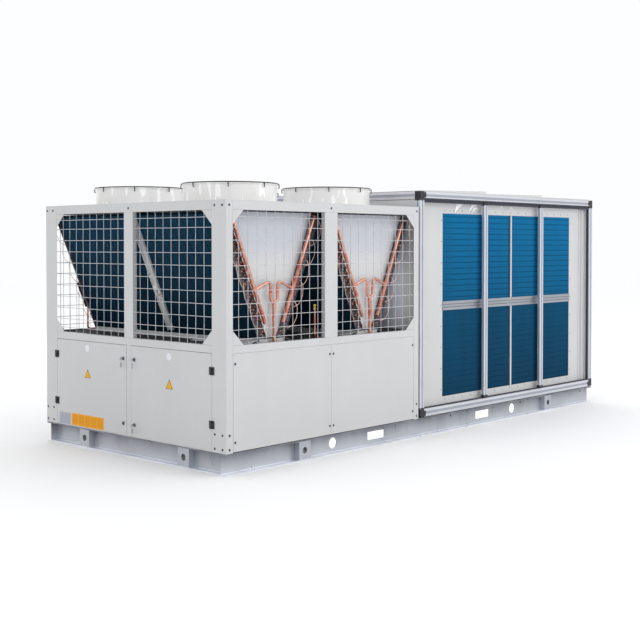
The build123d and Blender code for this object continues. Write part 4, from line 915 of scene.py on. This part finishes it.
def coil_copper():
    """Headers, three rows of return bends at both ends, feeders and the thin capillary tubes."""
    bends, heads, capillaries = bmesh.new(), bmesh.new(), bmesh.new()
    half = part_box("condenser_coils")[1].y
    tube = 0.0048
    for bottom, slope, out, length, thickness in slabs():
        for away in (-1, 1):
            for column, offset in enumerate((-0.021, -0.002, 0.017)):
                for number in range(18):
                    distance = 0.040 + TUBE_PITCH * number + (TUBE_PITCH / 4) * (column % 2)
                    middle = bottom + slope * distance + out * offset + Y * away * (half + 0.003)
                    turns = (pi * k / 8 for k in range(9))
                    add_tube(bends, [middle - Y * away * 0.002 - slope * 0.0127]
                             + [middle - slope * 0.0127 * cos(a) + Y * away * (0.002 + 0.0145 * sin(a))
                                for a in turns]
                             + [middle - Y * away * 0.002 + slope * 0.0127], tube, 7)
        inner = bottom - out * HEADER_INSET + Y * PIPE_PLANE
        stops = (0.104, 0.107, 0.112, 0.980, 0.985, 0.988)
        radii = [0.005, 0.0105, 0.0138, 0.0138, 0.0105, 0.005]
        add_tube(heads, [inner + slope * stop for stop in stops], radii, 20)
        for number in range(17):
            distance = 0.135 + TUBE_PITCH * number
            start = inner + slope * distance
            turn = start + out * 0.019
            add_tube(heads, rounded([start, turn, turn + Y * (half + PIPE_PLANE) * -1], 0.008, 3), 0.0044, 7)
        for number in range(5):
            distance = 0.085 + 0.168 * number
            base = bottom + slope * distance + out * (thickness / 2 - 0.004) - Y * (half - 0.002)
            swing = 0.008 * chance.random()
            run = [base, base - Y * 0.024 + out * 0.010,
                   base - Y * 0.036 + out * (0.044 + swing) + slope * 0.040,
                   base - Y * 0.040 + out * (0.054 + swing) + slope * 0.110,
                   base - Y * 0.036 + out * (0.036 + swing) + slope * 0.180,
                   base - Y * 0.026 + out * 0.006 + slope * 0.218, base + slope * 0.222]
            add_tube(capillaries, rounded(run, 0.06, 6), 0.0021, 6)
            mirrored = [Vector((point.x, -point.y, point.z)) for point in run]
            add_tube(capillaries, rounded(mirrored, 0.06, 6), 0.0021, 6)
    piece("return_bends", bends, dark_copper, slot="copper")
    piece("coil_header_pipes", heads, looks["copper"], replaces=["coil_headers"])
    thin_copper = copper("capillary_copper", (0.92, 0.66, 0.60), (0.70, 0.42, 0.36), 0.15)
    piece("capillary_tubes", capillaries, thin_copper, slot="copper")


def pipework():
    """Risers with smooth forked legs, brazed sleeves, lower runs and two capped service stubs."""
    pipes, sleeves, marks = bmesh.new(), bmesh.new(), bmesh.new()
    pipe_y, fork, arch, tee_z = PIPE_PLANE, 1.212, 1.368, 1.303
    ends = slabs()
    for index, (riser, shell) in enumerate(zip(RISERS, ("a", "b"))):
        low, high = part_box(f"compressor_crankshaft_{shell}")
        port = Vector(((low.x + high.x) / 2, (low.y + high.y) / 2 + 0.06, 0.66))
        run = [Vector((riser, pipe_y, fork - 0.006)), Vector((riser, pipe_y, 0.70)),
               Vector((port.x, pipe_y, 0.70)), Vector((port.x, port.y, 0.70)), port]
        add_tube(pipes, rounded(run, 0.032, 8), 0.014, 20)
        add_tube(sleeves, sleeve(Vector((riser, pipe_y, fork - 0.034)), Z, 0.034), sleeve_radii(0.0162), 20)
        add_tube(sleeves, sleeve(Vector((riser, pipe_y, floor_top + 0.012)), Z, 0.022), sleeve_radii(0.019), 20)
        arms = []
        for bottom, slope, out, length, thickness in ends[2 * index:2 * index + 2]:
            axis = bottom - out * HEADER_INSET + Y * pipe_y
            tee = axis + slope * ((tee_z - axis.z) / slope.z)
            leg = riser + (0.036 if tee.x > riser else -0.036)
            bend = Vector((leg, pipe_y, arch))
            arms.append([tee, bend, Vector((leg, pipe_y, fork))])
            add_tube(sleeves, sleeve(Vector((leg, pipe_y, fork + 0.052)), Z, 0.020), sleeve_radii(0.0132), 18)
            add_tube(marks, sleeve(Vector((leg, pipe_y, fork + 0.084)), Z, 0.040), sleeve_radii(0.0119), 18)
            away = (tee - bend).normalized()
            add_tube(sleeves, sleeve(tee - away * 0.022, away, 0.028), sleeve_radii(0.0134), 18)
        add_tube(pipes, rounded(arms[0] + arms[1][::-1], 0.036, 10), 0.0115, 18)
    piece("refrigerant_runs", pipes, looks["copper"], replaces=["refrigerant_pipes"])
    piece("brazed_sleeves", sleeves, looks["copper"], slot="copper")
    heated_copper = copper("heated_copper", (0.80, 0.20, 0.13), (0.72, 0.45, 0.42), 0.9)
    piece("brazing_marks", marks, heated_copper, slot="copper")
    stubs, caps, foam = bmesh.new(), bmesh.new(), bmesh.new()
    for x, y, top in ((left + 0.992, pipe_y, 1.14), (left + 0.36, -pipe_y, 1.13)):
        foot = Vector((x, y, floor_top + 0.018))
        add_tube(stubs, rounded([foot + Vector((0.16, 0, 0)), foot, Vector((x, y, top))], 0.03, 8), 0.0078, 14)
        add_turned(caps, [(0, -0.004), (0.0115, -0.004), (0.0115, 0.008), (0.0085, 0.011), (0.0085, 0.018),
                          (0.0125, 0.020), (0.0125, 0.032), (0.009, 0.036), (0, 0.037)],
                   Vector((x, y, top)), "z", 6)
    bottom, slope, out, length, thickness = slabs()[0]
    wrapped = [bottom + slope * d + out * (thickness / 2 + 0.012) + Y * -pipe_y
               for d in (0.20, 0.28, 0.36, 0.42)]
    add_tube(foam, rounded(wrapped, 0.03), 0.014, 12)
    piece("service_stubs", stubs, looks["copper"], slot="copper")
    piece("service_caps", caps, brass, slot="copper", bevel=0.0006)
    piece("foam_sleeve", foam, insulation, slot="rubber")


def coil_trays():
    """Sloping drip covers under each V, and the spliced diagonal struts with their bolts."""
    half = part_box("condenser_coils")[1].y
    wings, splices, bolts = bmesh.new(), bmesh.new(), bmesh.new()
    for riser in RISERS:
        for side in (-1, 1):
            section = [(0.128, 0.9375), (0.236, 0.9035), (0.246, 0.9035), (0.246, 0.9020), (0.236, 0.9020),
                       (0.128, 0.9355)]
            add_bar(wings, [(side * x, z) for x, z in section], Vector((riser, -half - 0.008, 0)),
                    Vector((riser, -0.36, 0)), X, Z)
    piece("drip_covers", wings, support_look, slot="galvanised_sheet", bevel=0.0004)
    for bottom, slope, out, length, thickness in slabs():
        face = bottom + out * (thickness / 2 + 0.0072)
        for side in (-1, 1):
            lip = face + slope * 0.03 + Y * side * 0.034
            add_bar(splices, bar_outline(0.0025, 0.010), lip, lip + slope * (length - 0.03),
                    Y * -side, out)
        for side, shift in ((-1, -0.018), (1, 0.016)):
            plate = face + slope * (0.32 + shift) + Y * (side * 0.014)
            add_bar(splices, [(-0.024, 0), (0.024, 0), (0.024, 0.006), (-0.024, 0.006)],
                    plate, plate + slope * 0.085, Y, out)
            bolt = plate + slope * 0.045 + out * 0.005
            add_tube(bolts, [bolt, bolt + out * 0.010], 0.011, 6)
            add_tube(bolts, [bolt, bolt + out * 0.020], 0.0055, 12)
    piece("strut_channels", splices, strut_look, slot="galvanised_sheet", bevel=0.0005)
    piece("strut_bolts", bolts, looks["zinc"], slot="zinc", bevel=0.0005)


def sleeve(centre, along, length):
    """Four points along a short sleeve, close together at its ends."""
    return [centre + along * length * part for part in (-0.5, -0.46, 0.46, 0.5)]


def sleeve_radii(radius):
    """The radii that go with sleeve: eased at both ends."""
    return [radius * 0.86, radius, radius, radius * 0.86]


# ---------------------------------------------------------------- air-handling section
def air_frame():
    """Grooved aluminium posts, rails and mullions, and their moulded corners."""
    for node in ("air_section_frame", "air_section_mullions"):
        bars = {axis: bmesh.new() for axis in range(3)}
        cores = bmesh.new()
        for points in islands(node):
            low, high = corners(points)
            size = high - low
            run = max(range(3), key=lambda axis: size[axis])
            add_profile(bars[run], low, high)
            inset = Vector([0.0004 if axis == run else 0.0032 for axis in range(3)])
            add_box(cores, low + inset, high - inset)
        piece(f"{node}_grooves", cores, groove_look, slot="anodised")
        first = True
        for axis, bm in bars.items():
            if not bm.verts:
                bm.free()
                continue
            piece(f"{node}_{'xyz'[axis]}_profiles", bm, run_looks[axis], slot="anodised",
                  replaces=[node] if first else (), bevel=0.0007)
            first = False
    moulded_corners()


def moulded_corners():
    """Black corner blocks that sleeve over the rails, and collars at both ends of every mullion."""
    bm = bmesh.new()
    for points in islands("corner_blocks"):
        low, high = corners(points)
        if high.z - low.z > 0.05:
            grown = 0.0008
            reach = 0.022 if low.x < 0 else -0.022
            low, high = low - Vector((grown, grown, 0)), high + Vector((grown, grown, 0))
            inner = (high.x, high.x + reach) if reach > 0 else (low.x + reach, low.x)
            add_box(bm, low, high)
            top = low.z > 1
            thick = (low.z + 0.012, high.z - 0.002) if top else (low.z + 0.002, high.z - 0.012)
            add_box(bm, (inner[0] - 0.002, low.y, thick[0]), (inner[1] + 0.002, high.y, thick[1]))
            cap = (low.z - 0.012, low.z + 0.001) if top else (high.z - 0.001, high.z + 0.012)
            add_box(bm, (low.x, low.y, cap[0]), (high.x, high.y, cap[1]))
        else:
            grow = Vector((0.002, 0.0015, 0.0))
            below, above = ((0.010, 0) if low.z > 1 else (0, 0.010))
            add_box(bm, low - grow - Z * below, high + grow + Z * above)
    piece("moulded_corner_blocks", bm, looks["black_plastic"], replaces=["corner_blocks"],
          bevel=0.005, segments=4)


def gaskets():
    """Dark seals round the front opening, under the top rail, over the bottom rail and by the posts; the strips
    under the top rail are partly painted shadow.
    """
    bm = bmesh.new()
    low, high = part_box("coil_surround")
    mullions = [corners(points) for points in islands("air_section_mullions") if corners(points)[0].y < 0]
    walls = [(low.x, mullions[0][0].x), (mullions[0][1].x, mullions[1][0].x), (mullions[1][1].x, high.x)]
    depth = (front + 0.010, low.y - 0.0006)
    for start, end in walls:
        # the dark strip under the top rail is partly painted shadow
        add_box(bm, (start, depth[0], high.z - 0.024), (end, depth[1], high.z))
        add_box(bm, (start, depth[0], low.z), (end, depth[1], low.z + 0.009))
    for x0, x1 in ((low.x, low.x + 0.009), (high.x - 0.009, high.x)):
        add_box(bm, (x0, depth[0] + 0.001, low.z + 0.010), (x1, depth[1], high.z - 0.025))
    # a dark strip under the top rail on the front, partly painted shadow
    add_box(bm, (low.x, front - 0.0012, high.z + 0.0003), (high.x, front + 0.003, high.z + 0.0125))
    piece("opening_gaskets_and_shadow_bands", bm, seal_and_shadow_look, slot="rubber", bevel=0.0012)


def coil_opening():
    """The recessed sheet round the intake coil, its screws, the middle rail with dark strips of painted shade at
    its grooves, and the divider with a dark strip of painted shadow beside it.
    """
    refined("coil_surround", 0.0014, 3, whole=False)
    sheet_front = front + SURROUND_DEPTH
    low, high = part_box("coil_surround")
    returns = bmesh.new()
    step = high.x - 0.074
    for start, end, proud in ((high.x - 0.112, step, 0.004), (step, high.x - 0.0025, 0.013)):
        add_box(returns, (start, sheet_front - proud, low.z + 0.0025),
                (end, sheet_front - 0.0003, high.z - 0.0025))
    piece("side_return_sheet", returns, looks["cabinet_paint"], slot="cabinet_paint", bevel=0.0018)
    film_glare(sheet_front)
    screws = bmesh.new()
    for z in (coil_low.z - 0.022, coil_high.z + 0.026):
        for number in range(17):
            place = coil_low.x + 0.035 + number * (coil_high.x - coil_low.x - 0.07) / 16
            add_pan_head(screws, Vector((place, sheet_front, z)), "-y", 0.005)
    for x in (coil_low.x - 0.02, coil_high.x + 0.022):
        for number in range(9):
            place = coil_low.z + 0.06 + number * (coil_high.z - coil_low.z - 0.12) / 8
            add_pan_head(screws, Vector((x, sheet_front, place)), "-y", 0.005)
    piece("coil_surround_screws", screws, screw_look, slot="zinc")
    rails, dividers, shadows, lines = bmesh.new(), bmesh.new(), bmesh.new(), bmesh.new()
    for points in islands("coil_middle_rail"):
        low, high = corners(points)
        if high.x - low.x > 1:
            add_profile(rails, low, high)
            for part in (0.33, 0.66):
                height = low.z + (high.z - low.z) * part
                # painted shade: a dark strip at each edge of the rail's groove
                add_box(lines, (low.x, low.y - 0.0008, height - 0.0022),
                        (high.x, low.y + 0.006, height + 0.0022))
        else:
            add_box(dividers, (low.x + 0.015, low.y, low.z), (high.x - 0.004, high.y, high.z))
            # painted shadow: a dark strip beside each divider
            add_box(shadows, (low.x, high.y - 0.004, low.z), (low.x + 0.016, high.y, high.z))
    piece("coil_middle_profiles", rails, mill_look, slot="galvanised_sheet", replaces=["coil_middle_rail"],
          bevel=0.0008)
    piece("coil_middle_groove_shade", lines, groove_shade_look, slot="galvanised_sheet")
    piece("coil_dividers", dividers, run_looks[2], slot="galvanised_sheet", bevel=0.0012)
    piece("coil_divider_shadow_strips", shadows, seal_and_shadow_look, slot="rubber")


def film_glare(sheet_front):
    """Pale crescents on the recessed sheet above the coil: a painted reflection of glare on its protective film.
    """
    bm = bmesh.new()
    painted_glare_strokes = ((0.235, 1.915, 0.375, 1.994, 0.050), (0.455, 1.922, 0.585, 1.978, 0.030),
               (0.500, 1.918, 0.590, 1.950, 0.018), (0.672, 1.992, 0.765, 1.928, 0.034),
               (0.955, 1.984, 1.015, 1.946, 0.022), (1.120, 1.970, 1.195, 1.936, 0.016))
    for x0, z0, x1, z1, width in painted_glare_strokes:
        rings = []
        for step in range(13):
            part = step / 12
            bow = 0.30 * (x1 - x0) * sin(pi * part)
            centre = Vector((x0 + (x1 - x0) * part, sheet_front - 0.0004, z0 + (z1 - z0) * part + bow))
            half = max(0.0006, width / 2 * sin(pi * part))
            rings.append([bm.verts.new(centre + Vector((-half * 0.5, y, half))) for y in (0, -0.0008)]
                         + [bm.verts.new(centre + Vector((half * 0.5, y, -half))) for y in (-0.0008, 0)])
        join_rings(bm, rings)
    piece("painted_glare_crescents", bm, painted_glare_look, slot="cabinet_paint")


def evaporator_coil():
    """Blue coated fins on both blocks of the intake coil, rippled at each tube row."""
    bm = bmesh.new()
    for points in islands("evaporator_coil"):
        low, high = corners(points)
        size = high - low
        rows = 2 * ceil(size.z / 0.0254)
        add_finned(bm, low, X * size.x, Z * size.z, Y * size.y, 360, rows, 0.0022, 0.0012)
    piece("evaporator_coil_fins", bm, looks["coil_fin_blue"], replaces=["evaporator_coil"], sharp=60)


def air_roof_and_walls():
    """Roof sheets with side seams, walls, floor and tray, duct flanges, and the wall at the joint."""
    refined("air_section_roof", 0.0012)
    refined("air_section_walls", 0.002)
    refined("air_section_floor", 0.001)
    refined("supply_duct_flanges", 0.0008)
    seams = bmesh.new()
    for points in islands("air_section_roof"):
        low, high = corners(points)
        crest = [(0, 0), (0.012, 0), (0.012, 0.0015), (0.0015, 0.0015), (0.0015, 0.004), (0, 0.004)]
        for y, way in ((low.y, 1), (high.y, -1)):
            slope_start = Vector((low.x + 0.004, y + way * 0.0005, low.z + 0.0068))
            slope_end = Vector((high.x - 0.004, y + way * 0.0005, high.z + 0.0006))
            add_bar(seams, crest, slope_start, slope_end, Y * way, Z)
    piece("roof_seams", seams, looks["cowl_paint"], slot="cabinet_paint", bevel=0.0004)
    wall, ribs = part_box("air_section_walls")[0], bmesh.new()
    for number in range(8):
        start = front + 0.068 + number * 0.246
        foot, end = floor_top + 0.01, start + 0.242
        add_box(ribs, (wall.x - 0.0032, start, foot), (wall.x - 0.0004, end, 1.935))
        add_box(ribs, (wall.x - 0.0062, start + 0.224, foot), (wall.x - 0.003, end, 1.935))
    piece("joint_wall_sheets", ribs, joint_look, slot="cabinet_paint", bevel=0.0008)


def rear_door():
    """Access door with a pressed border, and its two latches."""
    refined("access_door", 0.0016, 3)
    for level in ("upper", "lower"):
        refined(f"{level}_access_latch", 0.0016, 3)
    low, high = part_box("access_door")
    border = bmesh.new()
    y0, y1 = rear - 0.0002, rear + 0.0018
    x0, x1, z0, z1 = low.x + 0.045, high.x - 0.030, low.z + 0.04, high.z - 0.04
    width = 0.006
    add_border(border, (x0, y0, z0), (x1, y1, z1), width, 0)
    piece("access_door_border", border, looks["cabinet_paint"], "access_door", "cabinet_paint", bevel=0.0009)


def hidden_machinery():
    """Everything behind the panels: compressors, receivers, electrics, blower and drive."""
    for node in ("compressor_shells", "compressor_frames", "fixed_scrolls", "liquid_receivers",
                 "electrical_panel", "blower_housings", "blower_supports", "drive_belt",
                 "blower_shaft", "blower_wheels", "motor_rotor", "compressor_crankshaft_a",
                 "compressor_crankshaft_b", "orbiting_scroll_a", "orbiting_scroll_b"):
        refined(node, 0.0, sharp=30)


def carried_over_nodes():
    """Any CAD node that still shows takes the finish of its own slot."""
    for node, shown in frame["nodes"].items():
        if node not in replaced:
            shown.material_slots[0].material = looks[slot_of(node)]


# ---------------------------------------------------------------- stage, light and camera
def stage():
    """A wide pale floor that meets a pale surround."""
    bm = bmesh.new()
    add_box(bm, (-40, -40, -0.02), (40, 40, -0.0004))
    mesh = bpy.data.meshes.new("studio_floor")
    bm.to_mesh(mesh)
    bm.free()
    floor_look = Look("studio_floor", roughness=0.9)
    cloud = floor_look.spread(floor_look.noise(0.7), 0.0, 1.0)
    near = floor_look.mix(cloud, shade(0.885, 0.885, 0.885), shade(0.9, 0.9, 0.9))
    away = floor_look.spread(floor_look.distance(), 0.0, 1.0, 3.5, 11.0)
    mesh.materials.append(floor_look.finish(floor_look.mix(away, near, shade(1.0, 1.0, 1.0))))
    floor = bpy.data.objects.new("studio_floor", mesh)
    bpy.context.scene.collection.objects.link(floor)


def add_area_light(name, place, target, size, power):
    """A rectangular lamp that faces a target."""
    lamp = bpy.data.lights.new(name, "AREA")
    lamp.shape = "RECTANGLE"
    lamp.size, lamp.size_y = size
    lamp.energy = power
    holder = bpy.data.objects.new(name, lamp)
    holder.location = place
    holder.rotation_euler = (Vector(target) - Vector(place)).to_track_quat("-Z", "Y").to_euler()
    bpy.context.scene.collection.objects.link(holder)


def lighting():
    """A pale surround with three large lamps, and two small ones under the base and in the joint."""
    world = bpy.data.worlds.new("studio")
    world.use_nodes = True
    surround = world.node_tree.nodes["Background"]
    surround.inputs["Color"].default_value = (0.985, 0.99, 1.0, 1.0)
    surround.inputs["Strength"].default_value = 1.0
    bpy.context.scene.world = world
    add_area_light("key_light", (3.5, -10.0, 6.5), (0.2, 0.0, 0.9), (7.0, 5.0), 250)
    add_area_light("top_light", (0.0, -1.0, 8.0), (0.0, 0.0, 1.0), (8.0, 6.0), 120)
    add_area_light("back_light", (4.0, 9.0, 5.5), (0.0, 0.0, 1.0), (7.0, 4.0), 110)
    add_area_light("under_base_light", (0.0, 0.0, 0.155), (0.0, 0.0, 0.0), (4.8, 1.9), 40)
    add_area_light("joint_light", (joint - 0.17, front + 0.25, 1.25), (joint, front + 0.25, 1.25),
                   (0.24, 0.5), 0.22)


def camera():
    """The photograph's viewpoint: eye height, off the condenser end's front corner."""
    lens = bpy.data.cameras.new("view")
    lens.lens = LENS
    lens.sensor_width = 36
    lens.shift_y = LENS_SHIFT
    lens.clip_end = 200
    holder = bpy.data.objects.new("view", lens)
    holder.location = EYE
    holder.rotation_euler = (radians(90 - EYE_DROP), 0, radians(EYE_HEADING))
    bpy.context.scene.collection.objects.link(holder)
    bpy.context.scene.camera = holder
    bpy.context.scene.view_settings.view_transform = "Standard"


camera()
lighting()
stage()
base_frame()
wire_guards()
cabinet_sheet_metal()
doors()
labels()
locks()
fans()
condenser_coils()
coil_copper()
pipework()
coil_trays()
air_frame()
gaskets()
coil_opening()
evaporator_coil()
air_roof_and_walls()
rear_door()
hidden_machinery()
carried_over_nodes()
